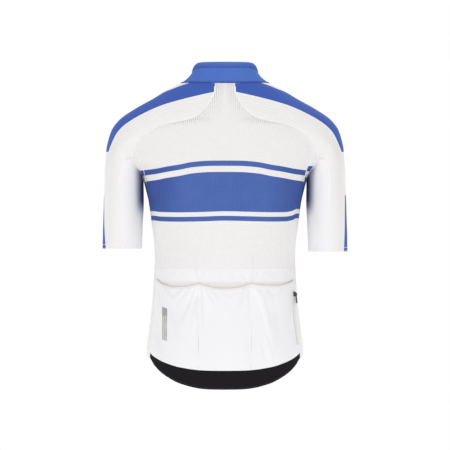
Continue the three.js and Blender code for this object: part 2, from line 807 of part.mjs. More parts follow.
// The line of the front zip, from the collar's top to the hem, with its outward direction.
function zipLine() {
  const line = COLLAR_ROWS.slice(0, -1).map((height) => collarAt(height, FRONT, RIGHT, 0).point);
  const levels = [...SHOULDER_LEVELS, ...WAIST_LEVELS].filter((z, i) => i % 2 === 0 || z <= ARMPIT_Z);
  const skirt = skirtRows(FRONT, RIGHT, 1, HEM_ROW).map((row) => row.z(0));
  for (const z of [...levels, ...skirt]) line.push(surfaceAt(BODY, FRONT, RIGHT, 0, z).point);
  return line.map((point, i) => {
    const above = line[Math.max(i - 1, 0)];
    const below = line[Math.min(i + 1, line.length - 1)];
    const normal = new THREE.Vector3(0, above.z - below.z, below.y - above.y).normalize();
    return { point, normal };
  });
}

function zipStrip(name, fromX, toX, outer, inner, finish) {
  const grid = zipLine().map(({ point, normal }) =>
    [toX, fromX].map((x) => {
      const at = new THREE.Vector3(x, point.y, point.z);
      return {
        outer: at.clone().addScaledVector(normal, outer),
        inner: at.clone().addScaledVector(normal, inner),
      };
    }),
  );
  add(name, wallOf(grid), finish);
}

// A box given by its size and centre, in a slider's own frame: x across, y up, z out.
function block(width, height, depth, x, y, z) {
  return new THREE.BoxGeometry(width, height, depth).translate(x, y, z);
}

const PIN_HEIGHT = SLIDER.plate + TAB.ring + LAYER_GAP;

function sliderShape() {
  const earX = TAB.width / 2 + LAYER_GAP + SLIDER.ear / 2;
  const earTop = PIN_HEIGHT + SLIDER.pin + 0.5;
  const pinLength = 2 * earX + SLIDER.ear - 0.2;
  const earFoot = SLIDER.plate / 2; // the ears start inside the plate
  const earMiddle = (earFoot + earTop) / 2;
  const ears = [-earX, earX].map((x) =>
    block(SLIDER.ear, SLIDER.earLength, earTop - earFoot, x, 0, earMiddle),
  );
  const pin = new THREE.CylinderGeometry(SLIDER.pin, SLIDER.pin, pinLength, 12);
  pin.rotateZ(Math.PI / 2).translate(0, 0, PIN_HEIGHT);
  return fused(block(SLIDER.width, SLIDER.length, SLIDER.plate, 0, 0, SLIDER.plate / 2), ...ears, pin);
}

// The pull tab, from its side: a ring on the slider's pin with a flat tongue below it.
function tabShape(length) {
  const half = TAB.thick / 2;
  const neck = Math.sqrt(TAB.ring ** 2 - half ** 2);
  const start = Math.atan2(-neck, half);
  const profile = new THREE.Shape();
  profile.moveTo(-half, -length);
  profile.lineTo(half, -length);
  profile.lineTo(half, -neck);
  profile.absarc(0, 0, TAB.ring, start, Math.PI - start, false);
  const eye = new THREE.Path();
  eye.absarc(0, 0, SLIDER.eye, 0, 2 * Math.PI, true);
  profile.holes.push(eye);
  const options = { depth: TAB.width, bevelEnabled: false, curveSegments: TAB.sides };
  const geometry = new THREE.ExtrudeGeometry(profile, options).translate(0, 0, -TAB.width / 2);
  const turned = new THREE.Matrix4().makeBasis(
    new THREE.Vector3(0, 0, 1),
    new THREE.Vector3(0, 1, 0),
    new THREE.Vector3(-1, 0, 0),
  );
  return geometry.applyMatrix4(turned);
}

// The frame of a slider that lies on a point of the cloth: x across, y up the zip, z out.
function sliderFrame(point, normal, down) {
  const out = normal.clone().normalize();
  const across = out.clone().cross(down).normalize();
  const up = out.clone().cross(across);
  return new THREE.Matrix4().makeBasis(across, up, out).setPosition(point);
}

function slider(prefix, frame, tab) {
  add(`${prefix}_slider`, sliderShape(), darkMetal, frame);
  const lean = new THREE.Matrix4().makeRotationX(-THREE.MathUtils.degToRad(tab.lean));
  const pin = new THREE.Matrix4().makeTranslation(0, 0, PIN_HEIGHT);
  add(`${prefix}_pull`, tabShape(tab.length), darkMetal, frame.clone().multiply(pin).multiply(lean));
}

function frontZip() {
  const tapeInner = ZIP.chainEdge + LAYER_GAP;
  zipStrip("zip_tape_right", tapeInner, ZIP.tapeEdge, 0, -CLOTH, nylon);
  zipStrip("zip_tape_left", -ZIP.tapeEdge, -tapeInner, 0, -CLOTH, nylon);
  zipStrip("zip_chain", -ZIP.chainEdge, ZIP.chainEdge, ZIP.raised, -ZIP.sunk, nylon);
  const at = collarAt(FRONT_SLIDER_HEIGHT, FRONT, RIGHT, 0).point;
  const lower = collarAt(FRONT_SLIDER_HEIGHT - 0.1, FRONT, RIGHT, 0).point;
  const upper = collarAt(FRONT_SLIDER_HEIGHT + 0.1, FRONT, RIGHT, 0).point;
  const down = lower.sub(upper).normalize();
  const normal = new THREE.Vector3(0, -down.z, down.y);
  at.addScaledVector(normal, ZIP.raised + LAYER_GAP);
  slider("zip", sliderFrame(at, normal, down), FRONT_TAB);
}

// The zipped pocket's strip, over the seam between the right pocket and the side panel.
function pocketZip() {
  const rows = [];
  for (let row = 0; row <= POCKET_ZIP.rows; row += 1) {
    rows.push(level(mix(POCKET_ZIP.top, POCKET_ZIP.bottom, row / POCKET_ZIP.rows)));
  }
  const from = (z) => POCKET_ZIP_X(z) - POCKET_ZIP.half;
  const to = (z) => POCKET_ZIP_X(z) + POCKET_ZIP.half;
  const top = LAYER_GAP + POCKET_CLOTH + STRIP_STANDOFF + POCKET_ZIP.thick;
  const shape = { part: BODY, face: BACK, side: RIGHT, rows, columns: 2, from, to };
  const grid = patch({ ...shape, thick: POCKET_ZIP.thick, lift: () => top });
  add("pocket_zip", wallOf(grid), nylon);

  const z = POCKET_ZIP.slider;
  const on = (at) => surfaceAt(BODY, BACK, RIGHT, POCKET_ZIP_X(at), at);
  const { point, normal } = on(z);
  const down = on(z - 5).point.sub(on(z + 5).point).normalize();
  point.addScaledVector(normal, top + LAYER_GAP);
  slider("pocket_zip", sliderFrame(point, normal, down), POCKET_TAB);
}

backPanel();
lowerBackPanel();
hemGripper();
for (const side of [LEFT, RIGHT]) {
  frontPanel(side);
  sidePanel(side);
  sleeve(side);
  underSleeve(side);
}
pockets();
reflectiveStrip();
collar();
frontZip();
pocketZip();

export default jersey;
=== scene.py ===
"""The looks of a short-sleeved road cycling jersey, filled out as it is when worn.

+X is the wearer's right, +Y the wearer's front and +Z up. The cloth's surface is worked out in
millimetres from the same tables as its solids, and every mesh is made in metres. Each cloth
piece is a thin shell between two seams, with its creases, and stands for its panel's solid.
"""

import math

import bpy
import numpy as np
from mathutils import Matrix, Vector

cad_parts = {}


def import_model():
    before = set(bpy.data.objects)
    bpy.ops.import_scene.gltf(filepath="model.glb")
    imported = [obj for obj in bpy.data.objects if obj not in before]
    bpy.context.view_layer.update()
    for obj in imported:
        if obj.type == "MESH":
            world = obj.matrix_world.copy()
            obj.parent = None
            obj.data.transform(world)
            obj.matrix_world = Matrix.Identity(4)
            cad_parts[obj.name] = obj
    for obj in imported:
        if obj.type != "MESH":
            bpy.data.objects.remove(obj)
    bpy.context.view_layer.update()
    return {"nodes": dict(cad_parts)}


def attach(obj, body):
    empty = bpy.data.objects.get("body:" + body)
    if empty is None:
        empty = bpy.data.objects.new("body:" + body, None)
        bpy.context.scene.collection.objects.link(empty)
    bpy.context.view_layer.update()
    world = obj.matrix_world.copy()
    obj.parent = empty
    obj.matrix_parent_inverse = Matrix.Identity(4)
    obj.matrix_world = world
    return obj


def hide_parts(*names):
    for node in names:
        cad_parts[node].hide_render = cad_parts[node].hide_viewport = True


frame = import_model()

MM = 0.001
BACK, FRONT = -1, 1
RIGHT, LEFT = 1, -1
BODY, ARM = "body", "arm"
FACES = (BACK, FRONT)
SIDES = (LEFT, RIGHT)

# Sizes shared with the solids.
SEAM_GAP = 0.34
LAYER_GAP = 0.3
POCKET_CLOTH = 1.1
TIP_STEP = 1
ARMPIT_Z = -213.4
SIDE_TIP_Z = {BACK: -138.8, FRONT: -151}
UNDER_TIP_Z = -163.5
UNDER_TIP_WIDTH = 9
POCKET_LINE_Z = -404
CUFF_Z = {LEFT: -360, RIGHT: -366}
BODY_POWER = 2.4
NECK_FADE_Z = -130
ARC_STEPS = 96
NUDGE = 0.01

# The numbered lines of the skirt: 0 is the pocket line, then the mouths, the band and the hem.
MOUTH_ROW = 2
BAND_ROW = 8
HEM_ROW = 10
POCKET_ROW_GROWTH = 1.3

# The hem's lines, which rise at the sides a little more than the solids' do.
HEM_BACK = {"centre": -662, "side": -590}
BAND_TOP = {"centre": -621, "side": -580.5}
HEM_FRONT = {"centre": -592, "side": -590}

# Sizes of the shells, and the heights that their rows pass through.
CLOTH = 0.8
STEP = 3.2
FINE_STEP = 1.6
WELD = 0.01
SHOULDER_LEVELS = (
    0, -12, -24, -36, -46, -56, -64, -71, -76.5, -80.5, -84.5, -90, -96, -103, -113, -125,
    -138.8, -151, UNDER_TIP_Z, -171, -180, -188, -196, -203, -209, ARMPIT_Z,
)  # fmt: skip


def curve_through(at, value):
    """A smooth curve through values at points in order, level past both ends."""
    at = np.array(at, float)
    value = np.array(value, float)
    way = np.sign(at[1] - at[0])
    steps = np.diff(value) / np.diff(at)
    arriving = np.concatenate([steps[:1], steps])
    leaving = np.concatenate([steps, steps[-1:]])
    same = arriving * leaving > 0
    tangent = np.where(same, 2 * arriving * leaving / np.where(same, arriving + leaving, 1), 0)

    def curve(place):
        place = np.asarray(place, float)
        i = np.clip(np.searchsorted(way * at, way * place) - 1, 0, len(at) - 2)
        width = at[i + 1] - at[i]
        t = np.clip((place - at[i]) / width, 0, 1)
        back = (1 - t) ** 2
        start = value[i] * (1 + 2 * t) * back + tangent[i] * width * t * back
        end = value[i + 1] * (3 - 2 * t) * t * t - tangent[i + 1] * width * (1 - t) * t * t
        return start + end

    return curve


def curves_of(names, *rows):
    """The named columns of a table as curves of its first column."""
    columns = list(zip(*rows))
    return {name: curve_through(columns[0], column) for name, column in zip(names[1:], columns[1:])}


def rise(value, start, end):
    """A smooth step from 0 at the start to 1 at the end."""
    t = np.clip((value - start) / (end - start), 0, 1)
    return t * t * (3 - 2 * t)


def mix(a, b, share):
    """The value at a share of the way from a to b."""
    return a + (b - a) * share


def slope(function, at):
    """How fast a function changes at each place."""
    return (function(at + NUDGE) - function(at - NUDGE)) / (2 * NUDGE)


def unit(vector):
    """The same directions with a length of one."""
    return vector / np.linalg.norm(vector, axis=-1, keepdims=True)


def lengths_along(point):
    """How far along a line each of its points is."""
    return np.concatenate([[0], np.cumsum(np.linalg.norm(np.diff(point, axis=0), axis=1))])


# The body's oval: half its width, its back and front, and the y of its sides.
TORSO = curves_of(
    ("z", "half", "back", "front", "side"),
    (0, 96, -66, 62, -3),
    (-12, 116, -78, 70, -4),
    (-30, 138, -90, 80, -5),
    (-50, 168, -99, 89, -5),
    (-70, 198, -106, 96, -5),
    (-90, 219, -111.5, 101, -5),
    (-110, 231, -116, 105, -5),
    (-130, 235, -119.5, 108, -5),
    (-150, 232, -121.5, 111, -5),
    (-163.5, 225.4, -122, 112.5, -5),
    (-176.5, 211.5, -122.5, 113.5, -5),
    (-189, 195.2, -122.3, 114, -5),
    (-200, 183.5, -122, 114.3, -4.5),
    (-213.4, 178.4, -121.5, 114.5, -4),
    (-231, 173.8, -120, 114.5, -4),
    (-253, 168.3, -117, 113.5, -3),
    (-308, 160.6, -107.5, 109, -2),
    (-341, 156.2, -102, 106.5, -1),
    (-385, 154, -98, 103.5, 0),
    (-407, 155, -97.5, 102.5, 0),
    (-451, 157.8, -100, 102, 0),
    (-495, 161.7, -106, 103, 0),
    (-539, 167, -113, 105, 0),
    (-583, 171.6, -118, 107.5, 0),
    (-623, 171, -119.5, 108, 0),
    (-665, 168, -117, 108, 0),
)

# The arm's oval: its outer and inner x, its reach to the back and front, the y of its sides,
# and how widely it is blended into the body above the armpit.
SLEEVE = curves_of(
    ("z", "out", "in", "back", "front", "side", "blend"),
    (0, 98, -20, 52, 50, -3, 4),
    (-12, 122, 0, 56, 53, -4, 14),
    (-33, 158, 30, 60, 56, -5, 28),
    (-55, 198, 62, 63, 58, -5, 36),
    (-77, 231, 100, 66, 60, -5, 40),
    (-99, 248.6, 128, 68, 61, -5, 40),
    (-121, 256.3, 150, 68, 61, -5, 36),
    (-143, 260.7, 167, 66, 60, -5, 28),
    (-163.5, 262, 178, 62, 58, -5, 12),
    (-189, 264, 178.6, 61.5, 58, -5, 4),
    (-213.4, 264.5, 178.8, 61, 58, -4, 0.5),
    (-253, 266, 178.6, 58, 56, -3, 0.5),
    (-308, 268, 181, 54, 53, 0, 0.5),
    (-366, 269.5, 183, 50, 51, 4, 0.5),
)

# How far the neck is dropped at each y, so that the front is lower than the back.
NECK_DROP = curves_of(("y", "z"), (-66, 0), (-35, 2.5), (-5, 3), (30, -14), (62, -42))["z"]

# The seam between the shoulders and the body, on the back and on the front.
RAGLAN = {
    BACK: curves_of(
        ("z", "x"),
        (0, 22),
        (-20.7, 22.5),
        (-30.7, 27),
        (-43.9, 33.9),
        (-57.3, 44.8),
        (-64.6, 52.3),
        (-76.7, 70.8),
        (-80.5, 86),
        (-84.2, 104.3),
        (-90.5, 134.5),
        (-95.8, 148.7),
        (-102.1, 160.9),
        (-119, 183.2),
        (-137.3, 196.1),
        (-152.2, 201.5),
        (-163.5, 202.7),
    )["x"],
    FRONT: curves_of(
        ("z", "x"),
        (0, 38),
        (-20, 42),
        (-40, 56),
        (-60, 80),
        (-80, 110),
        (-100, 142),
        (-120, 170),
        (-140, 190),
        (-155, 200),
        (-163.5, 202.7),
    )["x"],
}

# The seam between the body's panels and the panel under each arm.
SIDE_SEAM = {
    BACK: curves_of(
        ("z", "x"),
        (SIDE_TIP_Z[BACK], RAGLAN[BACK](SIDE_TIP_Z[BACK]) - TIP_STEP),
        (-150, 192.3),
        (-163.5, 187),
        (-176.5, 182),
        (-187.7, 177.5),
        (-200, 174.5),
        (-213.4, 172.5),
        (-231, 168),
        (-253, 163),
        (-308, 155),
        (-363, 149.8),
        (-407, 149),
        (-430, 149.6),
        (-495, 152.8),
        (-539, 157.8),
        (-583, 163.3),
        (-605, 165),
    )["x"],
    FRONT: curves_of(
        ("z", "x"),
        (SIDE_TIP_Z[FRONT], RAGLAN[FRONT](SIDE_TIP_Z[FRONT]) - TIP_STEP),
        (-163.5, 188),
        (-187.7, 172),
        (-213.4, 163),
        (-253, 154),
        (-308, 146),
        (-363, 141),
        (-407, 140),
        (-495, 145),
        (-605, 155),
    )["x"],
}

# The seam between the sleeve and the panel under the arm, the same on the back and the front.
SLEEVE_SEAM = curves_of(
    ("z", "x"),
    (UNDER_TIP_Z, RAGLAN[BACK](UNDER_TIP_Z) + UNDER_TIP_WIDTH),
    (-170, 217.8),
    (-177.6, 222.8),
    (-203.7, 228.7),
    (-245, 230.6),
    (-316.7, 227),
    (-366, 223.5),
)["x"]

# How far up its sides the hem has come, at shares of the half width.
HEM_CURVE = curves_of(
    ("across", "up"),
    (0, 0),
    (0.16, 0.004),
    (0.3, 0.022),
    (0.38, 0.05),
    (0.46, 0.09),
    (0.52, 0.13),
    (0.59, 0.18),
    (0.66, 0.255),
    (0.72, 0.335),
    (0.79, 0.44),
    (0.85, 0.56),
    (0.905, 0.7),
    (0.955, 0.885),
    (1, 1),
)["up"]

COLLAR_TOP = {"half": 72, "back": 56, "front": 60, "side": -4, "widens_from": 8, "widens_to": 60}
COLLAR_CLOTH = 1.6
COLLAR_GAP = 0.65
COLLAR_EDGE = curves_of(
    ("angle", "z", "roll"),
    (0, 46.8, 1),
    (40, 47, 1),
    (52, 46.2, 1),
    (60, 44, 0.9),
    (68, 40.5, 0.8),
    (80, 34, 0.6),
    (90, 30, 0.5),
    (120, 20, 0.2),
    (150, 9, 0),
    (180, -3, 0),
)
COLLAR_ROLL = curves_of(("height", "out"), (0, 0), (0.6, 0), (0.77, -1), (0.92, 1.2), (1, 0.2))["out"]
# The stitched fold under the collar's roll, by share of its height.
COLLAR_FOLD = {"at": 0.755, "half": 0.035, "depth": 0.9}
COLLAR_SEAM_AT = 0.035
COLLAR_QUARTERS = ((LEFT, FRONT), (LEFT, BACK), (RIGHT, BACK), (RIGHT, FRONT))

POCKET_TACK_X = 55.5
SIDE_POCKET = {"centre": 102, "half": 46.5}
POCKET_BULGE = 2.2
BULGE_FADE = 70
MOUTH = curves_of(
    ("x", "left", "right"),
    (0, -445.2, -445.2),
    (20, -444, -444),
    (40, -440, -440),
    (POCKET_TACK_X, -435, -435),
    (80, -440.5, -438),
    (110, -442.5, -439.7),
    (135, -436, -434.5),
    (150, -426, -428),
)
MOUTH_HALF = 158
# The hem at each pocket's mouth, and the top of the ribbed band above it that is greyed with painted shade.
POCKET_HEM = {"height": 5.2, "raised": 0.4, "step": 1.2}
SHADED_GATHERS_TOP = -430

REFLECTIVE = {"inner": 124.3, "outer": 135.6, "top": -487.7, "bottom": -557.7, "slant": 0.3}
STRIP_STANDOFF = 0.5
ZIP = {"tape_edge": 7.7, "panel_edge": 8, "chain_edge": 2.2}
TOOTH = {"pitch": 1.55, "reach": 2.15, "width": 1.0, "height": 0.75}
# The rings of points round a tooth: each one's place along its reach, and its size.
TOOTH_RINGS = ((-0.35, 0.55), (0.05, 0.95), (0.75, 1.0), (1.0, 0.6))
TOOTH_CORNERS = 8
POCKET_ZIP = {"half": 2.5, "top": -452, "bottom": -568}
POCKET_ZIP_X = curves_of(("z", "x"), (-452, 148.6), (-507, 150.6), (-542, 155), (-568, 158.2))["x"]

# The creases on each face: from x and z to x and z, half width and height, seen from behind.
FOLDS = {
    BACK: (
        (-57, -437, -86, -476, 9, 1.8),
        (-60, -440, -77, -520, 10, -1.6),
        (-50, -440, -31, -496, 9, 1.4),
        (58, -440, 82, -482, 9, 1.8),
        (82, -482, 95, -540, 10, 1.6),
        (95, -540, 103, -606, 12, 1.2),
        (52, -442, 33, -484, 9, -1.5),
        (84, -452, 112, -470, 9, -1.2),
        (-100, -214, -60, -236, 14, 1.2),
        (118, -228, 66, -250, 14, 1.2),
        # the lines that run up from the pockets' corners
        (-64, -356, -61, -406, 3, -0.35),
        (57, -350, 57, -406, 3, -0.35),
        # by the armpits
        (-199, -160, -187, -186, 4, 0.8),
        (-194, -184, -186, -210, 4, -0.7),
        (222, -134, 196, -167, 3.5, -1.2),
        (218, -126, 196, -154, 5, 0.7),
        (-176, -196, -150, -222, 9, 0.7),
        (176, -192, 148, -224, 9, 0.7),
        (186, -179, 220, -137, 4, 1.2),
        (190, -184, 224, -142, 4, -1),
    ),
    FRONT: (
        (-172, -196, -110, -246, 12, 1.1),
        (-166, -214, -118, -272, 10, -0.9),
        (172, -194, 106, -240, 12, 1.2),
        (164, -216, 116, -266, 10, -0.8),
        (-202, -158, -188, -186, 5, 0.8),
        (203, -156, 187, -184, 5, -0.9),
        (-150, -300, -70, -322, 14, 0.8),
        (146, -316, 62, -344, 14, 0.9),
        (-140, -380, -60, -392, 16, -0.8),
        (138, -392, 48, -404, 16, 0.8),
        (-116, -470, -132, -570, 14, 0.8),
        (110, -460, 128, -566, 14, -0.8),
        (-34, -556, -60, -596, 9, 0.6),
        (40, -548, 58, -596, 9, -0.6),
        (-60, -66, -24, -84, 8, 0.7),
        (60, -64, 26, -86, 8, -0.7),
    ),
}
# The fine creases of the pockets and the waist, which shape the cloth and set its painted crease shade: from
# x and z to x and z, half width and height.
CREASES = (
    (-67, -373, -63, -406, 3.2, -0.5),
    (-63, -405, -56, -433, 3, -0.8),
    (-74, -409, -60, -430, 4, 0.8),
    (-119, -408, -126, -423, 3, -0.6),
    (-108, -409, -119, -423, 3, -0.6),
    (-100, -411, -108, -425, 3, 0.5),
    (-139, -409, -133, -423, 3, -0.5),
    (-88, -409, -97, -423, 3, -0.5),
    (-45, -409, -50, -429, 3, -0.6),
    (-34, -411, -43, -428, 3, 0.5),
    (33, -413, 49, -433, 3, -0.7),
    (41, -411, 52, -431, 3, 0.6),
    (61, -373, 60, -405, 3.2, -0.5),
    (60, -405, 58, -433, 3, -0.8),
    (72, -409, 62, -431, 3, -0.7),
    (79, -409, 67, -430, 3.5, 0.7),
    (85, -410, 106, -424, 3.5, -0.8),
    (96, -409, 115, -420, 3, -0.6),
    (92, -416, 99, -425, 3, 0.5),
    (126, -409, 143, -419, 3, -0.5),
    (-10, -409, -17, -423, 3, -0.35),
    (9, -409, 18, -424, 3, -0.35),
    (-132, -441, -114, -462, 4, -1.1),
    (-89, -445, -112, -465, 5, -1),
    (-74, -441, -89, -462, 3.2, -0.9),
    (-88, -462, -98, -480, 4, -0.6),
    (-64, -446, -77, -480, 4, -0.9),
    (-76, -479, -95, -520, 7, -0.9),
    (-61, -449, -74, -487, 4, 0.9),
    (-74, -486, -80, -526, 6, 0.7),
    (-80, -444, -101, -467, 3.2, 0.6),
    (-144, -451, -141, -481, 3, -0.6),
    (-149, -477, -144, -497, 3, -0.5),
    (-152, -465, -147, -502, 3, 0.4),
    (-117, -496, -101, -545, 11, -0.5),
    (-63, -532, -61, -594, 5, -0.4),
    (-67, -502, -65, -569, 5, 0.4),
    (-50, -441, -49, -474, 3, -0.9),
    (-49, -474, -49, -530, 3, -0.7),
    (-46, -440, -37, -502, 3, 0.6),
    (-42, -445, -32, -465, 3.2, -1.1),
    (-32, -465, -24, -476, 3.4, -0.7),
    (-34, -446, -15, -465, 4, -0.7),
    (-37, -445, -22, -468, 3.2, 0.6),
    (-11, -453, 9, -462, 5, -0.5),
    (30, -453, 9, -462, 5, -0.5),
    (45, -445, 30, -462, 4, -0.6),
    (49, -445, 51, -479, 3, -0.8),
    (51, -479, 52, -526, 3, -0.5),
    (47, -446, 40, -489, 4, 0.5),
    (61, -441, 73, -474, 4, 1),
    (73, -474, 86, -511, 5, 1.1),
    (86, -511, 100, -560, 6, 0.9),
    (64, -442, 70, -464, 3, -0.8),
    (72, -446, 83, -465, 3.6, -1.2),
    (83, -465, 94, -502, 5, -1.2),
    (94, -502, 97, -532, 5, -0.8),
    (104, -502, 109, -575, 15, -0.6),
    (76, -451, 89, -477, 3, 0.6),
    (88, -446, 102, -460, 4, -1.1),
    (126, -446, 114, -456, 4, -0.7),
    (107, -465, 121, -502, 6, 0.5),
    (70, -465, 77, -496, 3, -0.5),
    (77, -496, 83, -532, 3.4, -0.5),
    (145, -445, 141, -477, 4, -0.5),
    (141, -477, 139, -523, 5, -0.5),
    (142, -502, 157, -569, 5, 0.6),
    (76, -562, 86, -601, 4, -0.7),
    (91, -545, 104, -601, 5, -0.8),
    (85, -554, 95, -601, 4, 0.8),
    (144, -532, 150, -569, 4, -0.5),
    (-151, -545, -133, -588, 12, -0.4),
    (-10, -502, 0, -588, 18, 0.3),
    (46, -557, 49, -612, 8, -0.35),
)
CREASE_RELIEF = 0.45

ZIP_RIPPLE = {"pitch": 43, "height": 0.55, "reach": 26}
WAVINESS = 0.16

# The section of a seam's raised line: places across it, and heights.
SEAM_PROFILE = ((-0.5, -1), (-0.32, 0.6), (0, 1), (0.32, 0.6), (0.5, -1))
SOFT_EDGE = 0.00022


# The surface.
def section(z):
    """All the sizes of the section at given heights."""
    side = {BODY: TORSO["side"](z), ARM: SLEEVE["side"](z)}
    return {
        "half": TORSO["half"](z),
        "side": side,
        "body_reach": {BACK: side[BODY] - TORSO["back"](z), FRONT: TORSO["front"](z) - side[BODY]},
        "out": SLEEVE["out"](z),
        "in": SLEEVE["in"](z),
        "arm_reach": {BACK: SLEEVE["back"](z), FRONT: SLEEVE["front"](z)},
        "blend": SLEEVE["blend"](z),
    }


def signed_root(value):
    """The square root of the size, with the sign kept."""
    return np.where(np.abs(value) < 1e-9, 0, np.sign(value) * np.sqrt(np.abs(value)))


def depth_at(s, part, face, joined, x):
    """How far the surface stands behind or before the section's side line at x."""
    body = s["body_reach"][face] * signed_root(1 - (np.abs(x) / s["half"]) ** BODY_POWER)
    across = (2 * x - s["in"] - s["out"]) / (s["out"] - s["in"])
    arm = s["arm_reach"][face] * signed_root(1 - across**2)
    close = np.maximum(s["blend"] - np.abs(body - arm), 0) / s["blend"]
    blended = np.maximum(body, arm) + close**2 * s["blend"] / 4
    return np.where(joined, blended, body if part == BODY else arm)


def crease_x(face, z):
    """The x where the body's oval and the arm's oval cross, above the armpit."""
    s = section(z)
    low, high = s["in"] + 0 * z, s["half"] + 0 * z
    for _ in range(40):
        middle = (low + high) / 2
        body = s["body_reach"][face] * signed_root(1 - (np.abs(middle) / s["half"]) ** BODY_POWER)
        across = (2 * middle - s["in"] - s["out"]) / (s["out"] - s["in"])
        outside = body > s["arm_reach"][face] * signed_root(1 - across**2)
        low = np.where(outside, middle, low)
        high = np.where(outside, high, middle)
    return low


def armhole_x(face, z):
    """The raglan seam down to the tip of the panel under the arm, then the crease."""
    z = np.asarray(z, float)
    tip = np.array(float(UNDER_TIP_Z))
    step = RAGLAN[face](UNDER_TIP_Z) - crease_x(face, tip)
    below = crease_x(face, z) + step * (1 - rise(z, UNDER_TIP_Z, -188))
    return np.where(z >= UNDER_TIP_Z, RAGLAN[face](z), below)


def from_line(x, z, from_x, from_z, to_x, to_z):
    """How far along a crease's line a place is, from 0 to 1, and how far away from it."""
    along_x, along_z = to_x - from_x, to_z - from_z
    share = ((x - from_x) * along_x + (z - from_z) * along_z) / (along_x**2 + along_z**2)
    share = np.clip(share, 0, 1)
    return share, np.hypot(x - from_x - along_x * share, z - from_z - along_z * share)


def fold_height(face, x, z):
    """The broad folds, and the ripple that the zip gives the front."""
    height = np.zeros(np.broadcast(x, z).shape)
    for *ends, width, fold in FOLDS[face]:
        share, away = from_line(x, z, *ends)
        height += fold * np.sin(math.pi * (0.15 + 0.7 * share)) * np.exp(-((away / width) ** 2))
    if face == FRONT:
        near = np.exp(-((x / ZIP_RIPPLE["reach"]) ** 2)) * rise(z, -90, -150)
        ripple = np.sin(2 * math.pi * z / ZIP_RIPPLE["pitch"] + 0.9 * np.sin(z / 61))
        height += ZIP_RIPPLE["height"] * near * ripple
    return height


def crease_height(x, z):
    """The fine creases, strongest near the pockets' corners and wider as they fade."""
    height = np.zeros(np.broadcast(x, z).shape)
    for *ends, width, fold in CREASES:
        share, away = from_line(x, z, *ends)
        strength = rise(share, -0.1, 0.15) * (1 - 0.55 * share)
        height += fold * strength * np.exp(-((away / (width * (0.55 + 0.3 * share))) ** 2))
    return height


def waviness(point):
    """The slight unevenness that stretched cloth has everywhere."""
    x, y, z = (point[..., i] for i in range(3))
    slow = np.sin(x / 17.3 + 1.7 * np.sin(z / 31)) * np.sin(z / 23.7 + y / 29)
    quick = np.sin(x / 7.9 + z / 11.3) * np.sin(z / 9.1 - y / 8.3 + 2 * np.sin(x / 37))
    return WAVINESS * (slow + 0.4 * quick)


def surface_at(part, face, side, x, z):
    """Points of the surface and its outward directions. x is the distance from the centre."""
    x, z = np.broadcast_arrays(np.asarray(x, float), np.asarray(z, float))
    joined = z > ARMPIT_Z
    s = section(z)
    depth = depth_at(s, part, face, joined, x)

    def signed_square(at_x, at_z):
        d = depth_at(section(at_z), part, face, joined, at_x)
        return d * np.abs(d)

    slope_x = slope(lambda at: signed_square(at, z), x)
    slope_z = slope(lambda at: signed_square(x, at), z)
    side_slope = slope(lambda at: section(at)["side"][part], z)
    out_y = 2 * face * depth
    normal = unit(np.stack([-slope_x, out_y, -slope_z - out_y * side_slope], -1))

    # The neck's drop, which leans the surface as it moves it down.
    y = s["side"][part] + face * depth
    fade = 1 - rise(z, 0, NECK_FADE_Z)
    fade_slope = -slope(lambda at: rise(at, 0, NECK_FADE_Z), z)
    drop = NECK_DROP(y)
    normal[..., 2] /= 1 + drop * fade_slope
    normal[..., 1] -= slope(NECK_DROP, y) * fade * normal[..., 2]
    normal = unit(normal)

    point = np.stack([x, y, z + drop * fade], -1)
    mirror = np.array([side, 1, 1])
    point += normal * (fold_height(face, side * x, z) + waviness(point * mirror))[..., None]
    return point * mirror, normal * mirror


def evenly(z, part, face, start, end, columns):
    """The x of points evenly spaced along each row's section between two seams."""
    s = section(z[:, None])
    share = (1 - np.cos(np.linspace(0, math.pi, ARC_STEPS + 1))) / 2
    x = start[:, None] + (end - start)[:, None] * share
    depth = depth_at(s, part, face, (z > ARMPIT_Z)[:, None], x)
    steps = np.hypot(np.diff(x, axis=1), np.diff(depth, axis=1))
    length = np.concatenate([np.zeros((len(z), 1)), np.cumsum(steps, axis=1)], axis=1)
    wanted = length[:, -1:] * np.linspace(0, 1, columns + 1)
    return np.array([np.interp(w, line, xs) for w, line, xs in zip(wanted, length, x)])


def half_gap(seam, z):
    """Half a seam's gap, measured along x where the seam slants."""
    slant = seam(z + 0.5) - seam(z - 0.5)
    return (SEAM_GAP / 2) * np.hypot(1, slant)


def before(seam):
    """The edge of the cloth on the inner side of a seam."""
    return lambda z: seam(z) - half_gap(seam, z)


def after(seam):
    """The edge of the cloth on the outer side of a seam."""
    return lambda z: seam(z) + half_gap(seam, z)


def constant(value):
    """A seam that stays at one x."""
    return lambda z: np.full(np.shape(z), float(value))


# Rows of a panel: the height of each where it meets its seam, and at shares of the half width.
def levels(top, bottom, seam=None):
    """Level rows between two heights, close together where the seam runs nearly level."""
    knots = [z for z in (*SHOULDER_LEVELS, POCKET_LINE_Z) if bottom < z < top]
    knots = [top, *knots, bottom]
    rows = [top]
    for upper, lower in zip(knots, knots[1:]):
        across = 0 if seam is None else abs(float(seam(lower) - seam(upper)))
        count = max(1, math.ceil(math.hypot(upper - lower, across) / STEP))
        rows += list(np.linspace(upper, lower, count + 1)[1:])
    at = np.array(rows, float)
    return at, lambda share: at[:, None] + 0 * share


def round_body(share):
    """The angle round the body at shares of its half width."""
    return np.degrees(np.arcsin(np.minimum(share, 1)))


def hem_height(hem, share):
    """A hem line's height at shares of the half width."""
    return mix(hem["centre"], hem["side"], HEM_CURVE(np.minimum(share, 1)))


def mouth_height(side, x):
    """The height of the pockets' mouths at a distance from the centre."""
    return MOUTH["left" if side == LEFT else "right"](x)


